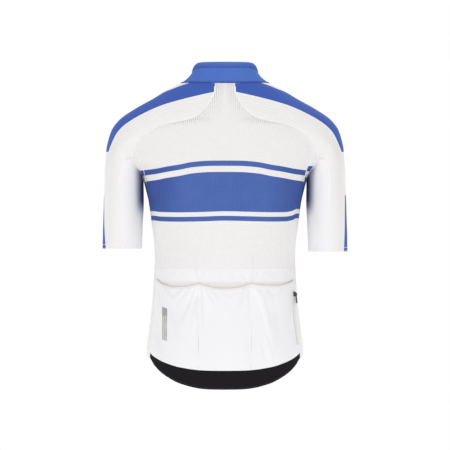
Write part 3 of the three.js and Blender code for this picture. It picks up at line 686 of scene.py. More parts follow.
def skirt_height(face, side, row, share):
    """The height of a numbered line, or of a place between two, below the pocket line."""
    if face == FRONT:
        return mix(POCKET_LINE_Z, hem_height(HEM_FRONT, share), row / HEM_ROW)
    mouth = mouth_height(side, share * MOUTH_HALF)
    band_top = hem_height(BAND_TOP, share)
    upper = mix(POCKET_LINE_Z, mouth, row / MOUTH_ROW)
    down = np.clip((row - MOUTH_ROW) / (BAND_ROW - MOUTH_ROW), 0, 1)
    pocket = mix(mouth, band_top, down**POCKET_ROW_GROWTH)
    band = mix(band_top, hem_height(HEM_BACK, share), (row - BAND_ROW) / (HEM_ROW - BAND_ROW))
    return np.where(row <= MOUTH_ROW, upper, np.where(row > BAND_ROW, band, pocket))


def skirt_rows(face, side, first, last, shift_first=0, shift_last=0, step=STEP):
    """Rows of the skirt between two of its numbered lines, the ends moved by the seam's gap."""
    count = math.ceil(230 / step * (last - first) / HEM_ROW)
    row = np.linspace(first, last, count + 1)
    shift = np.zeros(len(row))
    shift[0], shift[-1] = shift_first, shift_last
    z = np.full(len(row), float(POCKET_LINE_Z))
    for _ in range(6):
        z = skirt_height(face, side, row, SIDE_SEAM[face](z) / TORSO["half"](z))
    return z + shift, lambda share: skirt_height(face, side, row[:, None], share) + shift[:, None]


# Grids of points, in rows that go down and columns that go anticlockwise seen from above.
class Grid:
    """Outer points with outward directions, cloth coordinates and printed edges."""

    def __init__(self, point, normal, cloth, x, z):
        self.point = point
        self.normal = normal
        self.cloth = cloth
        self.x = x
        self.z = z

    def fields(self):
        return self.point, self.normal, self.cloth, self.x, self.z

    def reversed(self):
        return Grid(*(field[:, ::-1] for field in self.fields()))

    def above(self, other):
        """This grid with another one below it, which starts on this one's last row."""
        made = Grid(*(np.concatenate([a, b[1:]]) for a, b in zip(self.fields(), other.fields())))
        made.cloth[: len(self.cloth), :, 1] += other.cloth[0, :, 1]
        return made


def patch(part, face, side, rows, columns, start, end, lift=None, origin="start"):
    """The surface between two seams. Its cloth coordinates are lengths in metres from one edge."""
    at, height = rows
    x = evenly(at, part, face, start(at), end(at), columns)
    half = TORSO["half"](at)[:, None]
    z = height(x / half)
    joined = (at > ARMPIT_Z)[:, None]
    place = np.where(joined | (part == ARM), x, x / half * TORSO["half"](z))
    point, normal = surface_at(part, face, side, place, z)
    if lift is not None:
        point = point + normal * lift(place, z)[..., None]
    across = np.linalg.norm(np.diff(point, axis=1), axis=-1)
    u = np.concatenate([np.zeros((len(at), 1)), np.cumsum(across, axis=1)], axis=1)
    if origin == "end":
        u = u - u[:, -1:]
    down = np.linalg.norm(np.diff(point, axis=0), axis=-1)
    v = np.concatenate([np.cumsum(down[::-1], axis=0)[::-1], np.zeros((1, columns + 1))])
    way = side if origin == "start" else -face
    cloth = np.stack([u * way, v], -1) * MM
    grid = Grid(point, normal, cloth, side * place, z)
    return grid if face * side == BACK else grid.reversed()


def columns_for(length, step=STEP):
    """How many columns a width along the cloth takes."""
    return math.ceil(length / step)


def welded(grids):
    """The grids' points in one list, each once, and the quads between them."""
    fields = []
    for group in zip(*(grid.fields() for grid in grids)):
        fields.append(np.concatenate([field.reshape(-1, *field.shape[2:]) for field in group]))
    keys = np.round(fields[0] / WELD).astype(np.int64)
    _, first, index = np.unique(keys, axis=0, return_index=True, return_inverse=True)
    index = index.reshape(-1)
    quads = []
    offset = 0
    for grid in grids:
        rows, columns = grid.point.shape[:2]
        at = index[offset : offset + rows * columns].reshape(rows, columns)
        corners = (at[:-1, :-1], at[1:, :-1], at[1:, 1:], at[:-1, 1:])
        quads.append(np.stack(corners, -1).reshape(-1, 4))
        offset += rows * columns
    return [field[first] for field in fields], np.concatenate(quads)


def open_edges(quads, count):
    """The directed edges that only one quad has."""
    a = quads.reshape(-1)
    b = np.roll(quads, -1, axis=1).reshape(-1)
    lone = ~np.isin(a * count + b, b * count + a)
    return a[lone], b[lone]


def mark_sharp(mesh, wanted):
    """Marks the edges between the wanted pairs of points as sharp."""
    ends = np.empty(len(mesh.edges) * 2, np.int32)
    mesh.edges.foreach_get("vertices", ends)
    ends = np.sort(ends.reshape(-1, 2), axis=1).astype(np.int64)
    wanted = np.sort(wanted, axis=1).astype(np.int64)
    key = (len(mesh.vertices), 1)
    attribute = mesh.attributes.new("sharp_edge", "BOOLEAN", "EDGE")
    attribute.data.foreach_set("value", np.isin(ends @ key, wanted @ key))


def new_mesh(name, points, faces, uv=None, sharp=None, values=None):
    """A smooth mesh object from points in millimetres and faces that all have as many corners."""
    corners = faces.shape[1]
    mesh = bpy.data.meshes.new(name)
    mesh.vertices.add(len(points))
    mesh.vertices.foreach_set("co", (points * MM).astype(np.float32).ravel())
    mesh.loops.add(faces.size)
    mesh.loops.foreach_set("vertex_index", faces.astype(np.int32).ravel())
    mesh.polygons.add(len(faces))
    mesh.polygons.foreach_set("loop_start", np.arange(0, faces.size, corners, dtype=np.int32))
    mesh.update(calc_edges=True)
    if uv is not None:
        layer = mesh.uv_layers.new(name="cloth")
        layer.uv.foreach_set("vector", uv[faces.ravel()].astype(np.float32).ravel())
    for key, value in (values or {}).items():
        attribute = mesh.attributes.new(key, "FLOAT", "POINT")
        attribute.data.foreach_set("value", value.astype(np.float32))
    if sharp is not None:
        mark_sharp(mesh, sharp)
    mesh.polygons.foreach_set("use_smooth", np.ones(len(faces), bool))
    mesh.validate()
    made = bpy.data.objects.new(name, mesh)
    bpy.context.scene.collection.objects.link(made)
    return made


def shell(name, grids, material, thick=CLOTH, prints=None, **extra):
    """The closed shell of a cloth piece between its outer points and an inner layer."""
    (point, normal, cloth, x, z), quads = welded(grids)
    count = len(point)
    edge_a, edge_b = open_edges(quads, count)
    inner = quads[:, ::-1] + count
    rim = np.stack([edge_b, edge_a, edge_a + count, edge_b + count], -1)
    faces = np.concatenate([quads, inner, rim])
    outline = np.stack([edge_a, edge_b], -1)
    values = {key: made(point, x, z) for key, made in {"print": prints or unprinted, **extra}.items()}
    made = new_mesh(
        name,
        np.concatenate([point, point - normal * thick]),
        faces,
        uv=np.concatenate([cloth, cloth]),
        sharp=np.concatenate([outline, outline + count]),
        values={key: np.concatenate([value, value]) for key, value in values.items()},
    )
    made.data.materials.append(material)
    return made


def stand_for(piece, node):
    """The piece takes the place of its solid."""
    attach(piece, "jersey")
    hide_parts(node)


# Printed colour: distances inside the blue, in millimetres.
BAND = {
    "top": -169.6,
    "bottom": -299.4,
    "thin_top": 11.4,
    "gap_top": 24.4,
    "thin_bottom": 10.4,
    "gap_bottom": 20.1,
}
# How much higher the band is on the wearer's right side, and the x where that starts and is full.
BAND_STEP = {"height": 9.7, "start": 10, "full": 140}
# Seams take the band's blue only as far out as the body goes.
ARM_SIDE = {BACK: 172, FRONT: 190}
BAND_DROP = curves_of(
    ("x", "z"),
    (0, 0),
    (32, 0.2),
    (47, 0.9),
    (73, 3.4),
    (99, 8.4),
    (125, 12.3),
    (151, 16.8),
    (181, 20),
)["z"]
BAND_RISE = curves_of(
    ("x", "z"),
    (-155, 1.5),
    (-140, -0.5),
    (-100, -1.5),
    (-50, -0.8),
    (0, 0.8),
    (50, -0.2),
    (100, -1.2),
    (130, -0.8),
    (145, 1.5),
    (155, 6),
)["z"]
SHOULDER_STRIPE = {
    # the height of its edge on the back of the shoulder, and the y of the one over the top
    "lower": curves_of(
        ("x", "z"),
        (22.1, -19.4),
        (67.6, -29.5),
        (112.3, -40.8),
        (142.2, -50.1),
        (179.4, -66.8),
        (216.9, -89.1),
        (235.6, -108),
        (250.3, -137.7),
        (254.6, -149),
    )["z"],
    "over": curves_of(
        ("x", "y"),
        (20, -50),
        (60, -50),
        (78, -43),
        (97, -39),
        (115, -34),
        (132, -20),
        (145, -8),
        (160, 2),
        (190, 10),
        (215, 15),
        (262, 24),
    )["y"],
    "end": -148.3,
}
ARM_STRIPE = {"top": -243, "length": 116, "width": 56}
# How far behind the arm's outermost line the stripe starts, at its top and at the cuff.
ARM_STRIPE_BACK = {LEFT: (15, 33), RIGHT: (26, 34)}
AERO = {"pitch": 6.4, "first": 4, "last": 46, "depth": 0.00035}
# The heights where the painted blue shadow on the inside of the arm fades, and how far it reaches outwards.
SHADE = {"top": -176, "below_top": -190, "full": -250, "bottom": -294, "reach": 21}


def band_print(below, above):
    """Inside the chest band: a thin stripe, the wide one and another thin one."""
    thin_top = np.minimum(below, BAND["thin_top"] - below)
    wide = np.minimum(below - BAND["gap_top"], above - BAND["gap_bottom"])
    thin_bottom = np.minimum(above, BAND["thin_bottom"] - above)
    return np.maximum(np.maximum(thin_top, wide), thin_bottom)


def back_print(point, x, z, step=0):
    """The band on the back, or a step higher."""
    top = BAND["top"] - BAND_DROP(np.abs(x)) + step
    return band_print(top - point[:, 2], point[:, 2] - BAND["bottom"] - BAND_RISE(x))


def side_print(point, x, z):
    """The band on the sides and fronts, which is higher than the back's on the wearer's right."""
    step = BAND_STEP["height"] * rise(x, BAND_STEP["start"], BAND_STEP["full"])
    return back_print(point, x, z, step)


def deep_blue(point, x, z):
    """How much painted shade darkens the band's blue towards the body's sides."""
    return 0.75 * rise(np.abs(point[:, 0]), 78, 172)


def round_arm(point, z):
    """The distance round the arm from its outermost line, positive to the front."""
    s = section(z)
    middle = (s["in"] + s["out"]) / 2
    radius = (s["arm_reach"][BACK] + s["out"] - middle) / 2
    depth = point[:, 1] - s["side"][ARM]
    return radius * np.arctan2(depth, np.abs(point[:, 0]) - middle)


def sleeve_print(point, x, z):
    """The stripe over the shoulder, and the one down the outside of the arm."""
    across, y, height = np.abs(point[:, 0]), point[:, 1], point[:, 2]
    over = np.minimum(SHOULDER_STRIPE["over"](across) - y, height - SHOULDER_STRIPE["end"])
    on_back = np.minimum(over, height - SHOULDER_STRIPE["lower"](across))
    shoulder = np.where(y < section(z)["side"][ARM], on_back, over)
    down = ARM_STRIPE["top"] - height
    lean = np.clip(down / ARM_STRIPE["length"], 0, 1)
    starts = {side: mix(*ARM_STRIPE_BACK[side], lean) for side in SIDES}
    from_back = round_arm(point, z) + np.where(point[:, 0] > 0, starts[RIGHT], starts[LEFT])
    arm = np.minimum(np.minimum(from_back, ARM_STRIPE["width"] - from_back), down)
    return np.maximum(shoulder, arm)


def aero_ribs(point, x, z):
    """Distance below the shoulder's stripe, where the sleeve has raised lines along it."""
    return SHOULDER_STRIPE["lower"](np.abs(point[:, 0])) - point[:, 2]


def armpit_shade(point, x, z):
    """How much painted shadow, tinted by blue reflected from the chest band, lies on the inside of the arm.
    """
    height = point[:, 2]
    near = 1 - rise(np.abs(point[:, 0]) - SLEEVE["in"](z), 0.5, SHADE["reach"])
    low = 1 - rise(height, SHADE["below_top"], SHADE["top"])
    return near * rise(height, SHADE["bottom"], SHADE["full"]) * low


def collar_print(point, x, z):
    """The collar is blue all over."""
    return np.full(len(point), 9.0)


def unprinted(point, x, z):
    """Cloth with no blue."""
    return np.full(len(point), -9.0)


# Materials.
class Graph:
    """A material's nodes, made by short calls that return their outputs."""

    def __init__(self, name):
        self.material = bpy.data.materials.new(name)
        self.material.use_nodes = True
        self.tree = self.material.node_tree
        self.shader = self.tree.nodes["Principled BSDF"]

    def node(self, kind, inputs=(), **settings):
        made = self.tree.nodes.new(kind)
        for key, value in settings.items():
            setattr(made, key, value)
        for key, value in dict(inputs).items():
            self.set(made.inputs[key], value)
        return made

    def set(self, socket, value):
        if isinstance(value, bpy.types.NodeSocket):
            self.tree.links.new(value, socket)
        else:
            socket.default_value = value

    def math(self, operation, *values):
        made = self.node("ShaderNodeMath", operation=operation)
        for socket, value in zip(made.inputs, values):
            self.set(socket, value)
        return made.outputs[0]

    def cloth(self, axis):
        """The length along the cloth in metres, X across it or Y up it."""
        if not hasattr(self, "axes"):
            place = self.node("ShaderNodeUVMap", uv_map="cloth").outputs[0]
            self.axes = self.node("ShaderNodeSeparateXYZ", {0: place}).outputs
        return self.axes["XY".index(axis)]

    def attribute(self, name):
        return self.node("ShaderNodeAttribute", attribute_name=name).outputs["Fac"]

    def wave(self, place, length):
        """A cosine of the place with that wavelength in metres, from -1 to 1."""
        return self.math("COSINE", self.math("MULTIPLY", place, 2 * math.pi / length))

    def weave(self, wale, course):
        """The stitches of fine knit, as two crossing waves, from 0 to 1."""
        wales = self.wave(self.cloth("X"), wale)
        courses = self.wave(self.cloth("Y"), course)
        return self.between(self.math("ADD", wales, courses), -1.6, 1.6)

    def between(self, value, low, high):
        """The value's share of the way from low to high, kept from 0 to 1."""
        inputs = {"Value": value, "From Min": low, "From Max": high}
        return self.node("ShaderNodeMapRange", inputs, clamp=True).outputs[0]

    def mixed(self, share, first, second, blend="MIX"):
        """A blend of two colours, all the second where the share is 1."""
        made = self.node("ShaderNodeMix", data_type="RGBA", blend_type=blend)
        self.set(made.inputs[0], share)
        self.set(made.inputs[6], first)
        self.set(made.inputs[7], second)
        return made.outputs[2]

    def noise(self, scale):
        place = self.node("ShaderNodeTexCoord").outputs["Object"]
        inputs = {"Vector": place, "Scale": scale, "Detail": 3.0, "Roughness": 0.6}
        return self.node("ShaderNodeTexNoise", inputs).outputs[0]

    def bump(self, height, distance, strength=1.0, below=None):
        """A normal with relief up to that distance in metres, over another relief if given."""
        inputs = {"Height": height, "Distance": distance, "Strength": strength}
        if below is not None:
            inputs["Normal"] = below
        return self.node("ShaderNodeBump", inputs).outputs[0]

    def finish(self, **values):
        """Sets the shader's inputs, each by its name in small letters."""
        for key, value in values.items():
            self.set(self.shader.inputs[key.replace("_", " ").title().replace("Ior", "IOR")], value)
        return self.material


def srgb(red, green, blue):
    """A colour given as it looks, from 0 to 255, as linear light."""

    def linear(value):
        value /= 255
        return value / 12.92 if value <= 0.04045 else ((value + 0.055) / 1.055) ** 2.4

    return (linear(red), linear(green), linear(blue), 1)


def hex_dimples(graph, pitch):
    """A hexagonal lattice of round dimples, from 0 between them to 1 at their centres."""
    length = pitch * math.sqrt(3) / 2
    half_across = graph.math("MULTIPLY", graph.cloth("X"), 0.5)
    part_down = graph.math("MULTIPLY", graph.cloth("Y"), math.sqrt(3) / 2)
    waves = (
        graph.wave(graph.cloth("X"), length),
        graph.wave(graph.math("ADD", half_across, part_down), length),
        graph.wave(graph.math("SUBTRACT", half_across, part_down), length),
    )
    total = graph.math("ADD", graph.math("ADD", waves[0], waves[1]), waves[2])
    return graph.between(total, 0.0, 2.2)


WHITE_KNIT = srgb(238, 236, 235)
WHITE_SMOOTH = srgb(240, 239, 241)
WHITE_SEAM = srgb(247, 247, 252)
BLUE_PRINT = srgb(60, 92, 176)
BLUE_BAND = srgb(66, 94, 168)
BLUE_DOTS = srgb(98, 125, 190)
# The band's blue in painted shade.
BLUE_SHADOW = srgb(44, 68, 140)
BLUE_COLLAR = srgb(70, 106, 190)
BLUE_SHEEN = srgb(92, 130, 206)
# Painted navy shadow for the insides of the arms by the armpits.
SHADOW_NAVY = srgb(30, 40, 104)


def paler(colour, share):
    """The colour with its light scaled, for the tone between threads."""
    return tuple(min(1, c * share) for c in colour[:3]) + (1,)


def painted_crease_shade(graph, colour):
    """The colour with painted shade down in a fold and a painted highlight along its crest."""
    relief = graph.attribute("relief")
    fold_shade = graph.mixed(graph.between(relief, 0.1, -1.3), (1, 1, 1, 1), (0.89, 0.885, 0.9, 1))
    # A painted highlight along the crests.
    raised = graph.mixed(graph.between(relief, 0.2, 1.4), fold_shade, (1.04, 1.04, 1.04, 1))
    return graph.mixed(1.0, colour, raised, "MULTIPLY")


def knit_finish(graph, colour, normal):
    """The sheen and roughness that every knit has, and the painted shade and highlight of its creases."""
    return graph.finish(
        base_color=painted_crease_shade(graph, colour),
        roughness=0.85,
        normal=normal,
        sheen_weight=0.06,
        sheen_roughness=0.5,
        specular_ior_level=0.2,
    )


def printed_knit(name, white, blues, pitch, depth):
    """Knit with dimples, and blue where its print says so, darkened by painted shade towards the body's sides
    and in the collar's fold.
    """
    graph = Graph(name)
    dots = hex_dimples(graph, pitch)
    inside = graph.between(graph.attribute("print"), -0.15, 0.15)
    blotches = graph.between(graph.noise(9.0), 0.3, 0.7)
    plain = graph.mixed(graph.math("MULTIPLY", blotches, 0.3), blues[0], blues[1])
    # Painted shade: the blue darkens towards the body's sides, and in the collar's fold and at its base.
    plain = graph.mixed(graph.attribute("deep"), plain, BLUE_SHADOW)
    blue = graph.mixed(graph.math("MULTIPLY", dots, 0.5), plain, blues[1])
    pale = graph.mixed(graph.math("MULTIPLY", dots, 0.5), white, paler(white, 0.95))
    pale = graph.mixed(graph.math("MULTIPLY", blotches, 0.5), pale, paler(white, 0.97))
    wales = graph.wave(graph.cloth("X"), 0.0009)
    normal = graph.bump(graph.math("MULTIPLY", dots, -1.0), depth)
    normal = graph.bump(wales, 0.00003, 0.3, normal)
    return knit_finish(graph, graph.mixed(inside, pale, blue), normal)


def sleeve_knit():
    """The sleeve's knit: fine wales, and raised lines that follow the shoulder's stripe."""
    graph = Graph("sleeve_knit")
    below = graph.attribute("aero")
    started = graph.between(below, AERO["first"] - 3.0, AERO["first"] + 1.0)
    ended = graph.between(below, AERO["last"], AERO["last"] - 16.0)
    lines = graph.between(graph.wave(below, AERO["pitch"]), 0.2, 1.0)
    lines = graph.math("MULTIPLY", lines, graph.math("MULTIPLY", started, ended))
    inside = graph.between(graph.attribute("print"), -0.15, 0.15)
    weave = graph.weave(0.0014, 0.0011)
    white = graph.mixed(weave, paler(WHITE_KNIT, 0.99), paler(WHITE_KNIT, 1.02))
    white = graph.mixed(graph.math("MULTIPLY", lines, 0.6), white, paler(WHITE_KNIT, 0.94))
    blue = graph.mixed(weave, paler(BLUE_PRINT, 0.88), paler(BLUE_PRINT, 1.12))
    normal = graph.bump(lines, AERO["depth"])
    normal = graph.bump(weave, 0.00006, 0.5, normal)
    return knit_finish(graph, graph.mixed(inside, white, blue), normal)


def under_knit():
    """The smooth knit under the arm, with painted navy shadow and reflected blue at its inner edge by the
    armpit.
    """
    graph = Graph("under_knit")
    weave = graph.weave(0.0008, 0.001)
    white = graph.mixed(weave, paler(WHITE_SMOOTH, 0.97), WHITE_SMOOTH)
    # Painted shadow: navy by the armpit.
    tone = graph.mixed(graph.attribute("shade"), white, SHADOW_NAVY)
    return knit_finish(graph, tone, graph.bump(weave, 0.00006, 0.5))


def seam_tape(name, colour, pitch):
    """A bonded or overlocked seam: a soft raised line with its stitches, blue inside the print."""
    graph = Graph(name)
    slant = graph.math("ADD", graph.cloth("X"), graph.math("MULTIPLY", graph.cloth("Y"), 0.6))
    stitches = graph.between(graph.wave(slant, pitch), -0.2, 0.9)
    tone = graph.mixed(stitches, paler(colour, 0.9), colour)
    tone = graph.mixed(graph.attribute("shade"), tone, BLUE_BAND)
    return graph.finish(base_color=tone, roughness=0.6, normal=graph.bump(stitches, 0.00015, 0.7))


def edge_shadow_strip():
    """A grey raised edge along the pockets' mouths and the zipped pocket's fold, painted as their shadow
    line, and darker where its shade says so.
    """
    graph = Graph("edge_shadow_strip")
    wales = graph.between(graph.wave(graph.cloth("X"), 0.0016), -0.3, 1.0)
    # Painted shadow: the edge's grey, and a darker grey where it lies further in shade.
    light = graph.mixed(wales, srgb(214, 211, 206), srgb(230, 227, 221))
    tone = graph.mixed(graph.attribute("shade"), light, srgb(172, 170, 171))
    return graph.finish(base_color=tone, roughness=0.8, normal=graph.bump(wales, 0.0001, 0.5))


def smooth_knit(name, colour, wale=0.0007):
    """Fine smooth knit, greyer and ribbed where its shade says so: painted shade above the pockets' mouths,
    and the hems' own tone on the pockets.
    """
    graph = Graph(name)
    weave = graph.weave(wale, wale * 1.3)
    tone = graph.mixed(weave, paler(colour, 0.965), colour)
    shade = graph.attribute("shade")
    ribs = graph.between(graph.wave(graph.cloth("X"), 0.0031), -0.5, 1.0)
    # Greyer tone: painted shade above the pockets' mouths, and the hems' own tone.
    grey = graph.mixed(ribs, srgb(231, 228, 225), srgb(241, 239, 236))
    tone = graph.mixed(shade, tone, grey)
    normal = graph.bump(graph.math("MULTIPLY", ribs, shade), 0.0004)
    normal = graph.bump(weave, 0.00006, 0.5, normal)
    normal = graph.bump(graph.noise(70.0), 0.00025, 0.25, normal)
    return knit_finish(graph, tone, normal)


def ribbed_band(name, colour, rib, depth):
    """An elastic band with fine ribs across it."""
    graph = Graph(name)
    ribs = graph.wave(graph.cloth("X"), rib)
    light = paler(colour, 1.5)
    tone = graph.mixed(graph.between(ribs, -0.4, 1.0), colour, light)
    normal = graph.bump(ribs, depth)
    normal = graph.bump(graph.noise(400.0), 0.0001, 0.5, normal)
    return graph.finish(base_color=tone, roughness=0.8, normal=normal, specular_ior_level=0.12)


def plastic(name, colour, roughness, metallic=0.0):
    """A smooth hard finish with a faint grain."""
    graph = Graph(name)
    grain = graph.noise(900.0)
    tone = graph.mixed(grain, paler(colour, 0.9), colour)
    normal = graph.bump(grain, 0.00003, 0.4)
    return graph.finish(base_color=tone, roughness=roughness, metallic=metallic, normal=normal)


def reflective_film():
    """Grey reflecting film: plain at its top, then a fine pattern of short bars."""
    graph = Graph("reflective_film")
    across, down = graph.cloth("X"), graph.cloth("Y")
    lines = graph.wave(across, 0.0052)
    swing = graph.math("MULTIPLY", graph.wave(down, 0.017), 0.0014)
    bars = graph.wave(graph.math("ADD", across, swing), 0.0041)
    breaks = graph.wave(graph.math("ADD", down, across), 0.0113)
    pattern = graph.math("MAXIMUM", graph.math("MULTIPLY", bars, breaks), graph.math("MULTIPLY", lines, 0.6))
    pattern = graph.between(pattern, 0.05, 0.45)
    pattern = graph.math("MULTIPLY", pattern, graph.attribute("shade"))
    tone = graph.mixed(pattern, srgb(166, 166, 163), srgb(216, 216, 214))
    finish = {"base_color": tone, "roughness": 0.4, "metallic": 0.2}
    return graph.finish(**finish, normal=graph.bump(pattern, 0.0001))


KNIT = printed_knit("ribbed_knit", WHITE_KNIT, (BLUE_BAND, BLUE_DOTS), 0.0052, 0.0003)
SLEEVE_KNIT = sleeve_knit()
SMOOTH = smooth_knit("smooth_knit", WHITE_SMOOTH)
GRIPPER = ribbed_band("gripper_band", srgb(22, 20, 24), 0.0022, 0.00012)
COLLAR_KNIT = printed_knit("collar_knit", WHITE_SMOOTH, (BLUE_COLLAR, BLUE_SHEEN), 0.0018, 0.00008)
TAPE = smooth_knit("zip_tape", srgb(230, 229, 229), 0.0006)
TEETH = plastic("zip_teeth", srgb(236, 236, 240), 0.35)
METAL = plastic("zip_metal", srgb(214, 214, 218), 0.3, 0.3)
TAB = plastic("pull_tab", srgb(58, 57, 64), 0.45)
FILM = reflective_film()
UNDER_KNIT = under_knit()
SEAM = seam_tape("seam_tape", WHITE_SEAM, 0.0022)
BLUE_SEAM = seam_tape("collar_seam_tape", srgb(52, 82, 165), 0.0022)
BLACK_SEAM = seam_tape("gripper_stitch", srgb(44, 42, 47), 0.0026)
SHADOW_STRIP = edge_shadow_strip()


# The pieces.
def side_name(name, side):
    """The name of a piece that each side has."""
    return f"{name}_{'left' if side == LEFT else 'right'}"


def panel_edge(face):
    """The outer edge of the back or front: the raglan seam, then the side seam."""
    raglan, seam = before(RAGLAN[face]), before(SIDE_SEAM[face])
    return lambda z: np.where(z > SIDE_TIP_Z[face], raglan(z), seam(z))


def back_panel():
    """The upper back, from the collar to the pocket line."""
    rows = levels(0, POCKET_LINE_Z + SEAM_GAP / 2, RAGLAN[BACK])
    shape = (columns_for(200), constant(0), panel_edge(BACK))
    grids = [patch(BODY, BACK, side, rows, *shape) for side in SIDES]
    piece = shell("back_cloth", grids, KNIT, prints=back_print, deep=deep_blue, relief=back_relief)
    stand_for(piece, "back_panel")


def skirt_patches(side, rows, step=STEP, lift=None):
    """The back below the pocket line, in two parts that meet where two pockets do."""
    tack = constant(POCKET_TACK_X)
    middle = patch(BODY, BACK, side, rows, columns_for(POCKET_TACK_X, step), constant(0), tack, lift)
    outer = patch(BODY, BACK, side, rows, columns_for(125, step), tack, panel_edge(BACK), lift)
    return [middle, outer]


def behind_mouths(side):
    """The lower back's creases, and its swell up to the pockets' open mouths."""

    def lift(x, z):
        above = z - mouth_height(side, x)
        swell = 0.9 * mouth_bulge(x) * np.exp(-((above / 17) ** 2))
        return swell + CREASE_RELIEF * crease_height(side * x, z) * rise(above, -4, 2)

    return lift


def lower_back():
    """The smooth cloth behind the pockets."""
    grids = []
    for side in SIDES:
        rows = skirt_rows(BACK, side, 0, BAND_ROW, -SEAM_GAP / 2, SEAM_GAP / 2, FINE_STEP)
        grids += skirt_patches(side, rows, FINE_STEP, behind_mouths(side))
    piece = shell("lower_back_cloth", grids, SMOOTH, shade=shaded_gathers, relief=back_relief)
    stand_for(piece, "lower_back_panel")


def hem_gripper():
    """The black elastic band at the back hem."""
    grids = []
    for side in SIDES:
        grids += skirt_patches(side, skirt_rows(BACK, side, BAND_ROW, HEM_ROW, -SEAM_GAP / 2))
    piece = shell("gripper_cloth", grids, GRIPPER)
    stand_for(piece, "hem_gripper")


def front_panel(side):
    """One front, from the neck to the hem beside the zip."""
    shape = (columns_for(210), constant(ZIP["panel_edge"]), panel_edge(FRONT))
    upper = patch(BODY, FRONT, side, levels(0, POCKET_LINE_Z, RAGLAN[FRONT]), *shape)
    lower = patch(BODY, FRONT, side, skirt_rows(FRONT, side, 0, HEM_ROW), *shape)
    name = side_name("front_cloth", side)
    prints = {"prints": side_print, "deep": deep_blue, "relief": front_relief}
    piece = shell(name, [upper.above(lower)], KNIT, **prints)
    stand_for(piece, side_name("front", side))


def side_skirt(face, side):
    """The side panel's rows below the pocket line, which level out between its two seams."""
    at, _ = skirt_rows(face, side, 0, HEM_ROW)
    other, _ = skirt_rows(-face, side, 0, HEM_ROW)
    middle = (at + other) / 2
    seam_angle = round_body(SIDE_SEAM[face](at) / TORSO["half"](at))

    def height(share):
        turned = np.maximum(round_body(share) - seam_angle[:, None], 0)
        return mix(at[:, None], middle[:, None], turned / (90 - seam_angle[:, None]))

    return at, height


def side_panel(side):
    """The panel under an arm, round both faces, from the armhole to the hem."""
    grids = []
    for face in FACES:
        armhole = before(lambda z, face=face: armhole_x(face, z))

        def end(z, armhole=armhole):
            return np.where(z > ARMPIT_Z, armhole(z), TORSO["half"](z))

        shape = (columns_for(65), after(SIDE_SEAM[face]), end)
        upper = patch(BODY, face, side, levels(SIDE_TIP_Z[face], ARMPIT_Z), *shape, origin="end")
        middle = patch(BODY, face, side, levels(ARMPIT_Z, POCKET_LINE_Z), *shape, origin="end")
        lower = patch(BODY, face, side, side_skirt(face, side), *shape, origin="end")
        grids.append(upper.above(middle).above(lower))
    piece = shell(side_name("side_cloth", side), grids, KNIT, prints=side_print, deep=deep_blue)
    stand_for(piece, side_name("side_panel", side))


def sleeve_column(face):
    """The line down the sleeve from which its columns are counted."""
    seam = after(SLEEVE_SEAM)
    return lambda z: np.where(z > UNDER_TIP_Z, RAGLAN[face](z) + UNDER_TIP_WIDTH, seam(z))


def sleeve(side):
    """The shoulder and the outer sleeve in one piece."""
    grids = []
    for face in FACES:
        start = after(RAGLAN[face])
        column = sleeve_column(face)
        above = levels(0, UNDER_TIP_Z, RAGLAN[BACK])
        below = levels(UNDER_TIP_Z, CUFF_Z[side])
        grids.append(patch(ARM, face, side, above, 3, start, column, origin="end"))
        outer = (columns_for(150), column, SLEEVE["out"])
        upper = patch(ARM, face, side, above, *outer, origin="end")
        lower = patch(ARM, face, side, below, *outer, origin="end")
        grids.append(upper.above(lower))
    piece = shell(side_name("sleeve_cloth", side), grids, SLEEVE_KNIT, prints=sleeve_print, aero=aero_ribs)
    stand_for(piece, side_name("sleeve", side))


def under_sleeve(side):
    """The panel inside a sleeve, from the armpit to the cuff."""
    grids = []
    for face in FACES:
        armhole = after(lambda z, face=face: armhole_x(face, z))

        def start(z, armhole=armhole):
            return np.where(z > ARMPIT_Z, armhole(z), SLEEVE["in"](z))

        shape = (columns_for(80), start, before(SLEEVE_SEAM))
        upper = patch(ARM, face, side, levels(UNDER_TIP_Z - SEAM_GAP, ARMPIT_Z), *shape)
        lower = patch(ARM, face, side, levels(ARMPIT_Z, CUFF_Z[side]), *shape)
        grids.append(upper.above(lower))
    piece = shell(side_name("under_sleeve_cloth", side), grids, UNDER_KNIT, shade=armpit_shade)
    stand_for(piece, side_name("under_sleeve", side))


def mouth_bulge(x):
    """How far each pocket stands out at its mouth."""
    centre = np.where(x < POCKET_TACK_X, 0, SIDE_POCKET["centre"])
    half = np.where(x < POCKET_TACK_X, POCKET_TACK_X, SIDE_POCKET["half"])
    return POCKET_BULGE * np.maximum(1 - ((x - centre) / half) ** 2, 0)


def pocket_base(side, x, z):
    """How far the outside of a pocket stands off the lower back."""
    near = 1 - rise(mouth_height(side, x) - z, 0, BULGE_FADE)
    return LAYER_GAP + POCKET_CLOTH + mouth_bulge(x) * near


def back_relief(point, x, z):
    """How far creases raise or sink the cloth, in millimetres, which sets their painted shade and highlight.
    """
    return crease_height(x, z) + 0.3 * fold_height(BACK, x, z)


def front_relief(point, x, z):
    """How far folds raise or sink the front, in millimetres, which sets their painted shade and highlight."""
    return 0.3 * fold_height(FRONT, x, z)


def mouth_at(x):
    """The height of the pockets' mouths at an x that is positive on the wearer's right."""
    return np.where(x < 0, mouth_height(LEFT, np.abs(x)), mouth_height(RIGHT, np.abs(x)))


def pocket_hem(point, x, z):
    """The elastic hem along the pockets' mouths."""
    return 0.85 * (1 - rise(mouth_at(x) - z, POCKET_HEM["height"] - 1, POCKET_HEM["height"] + 0.5))


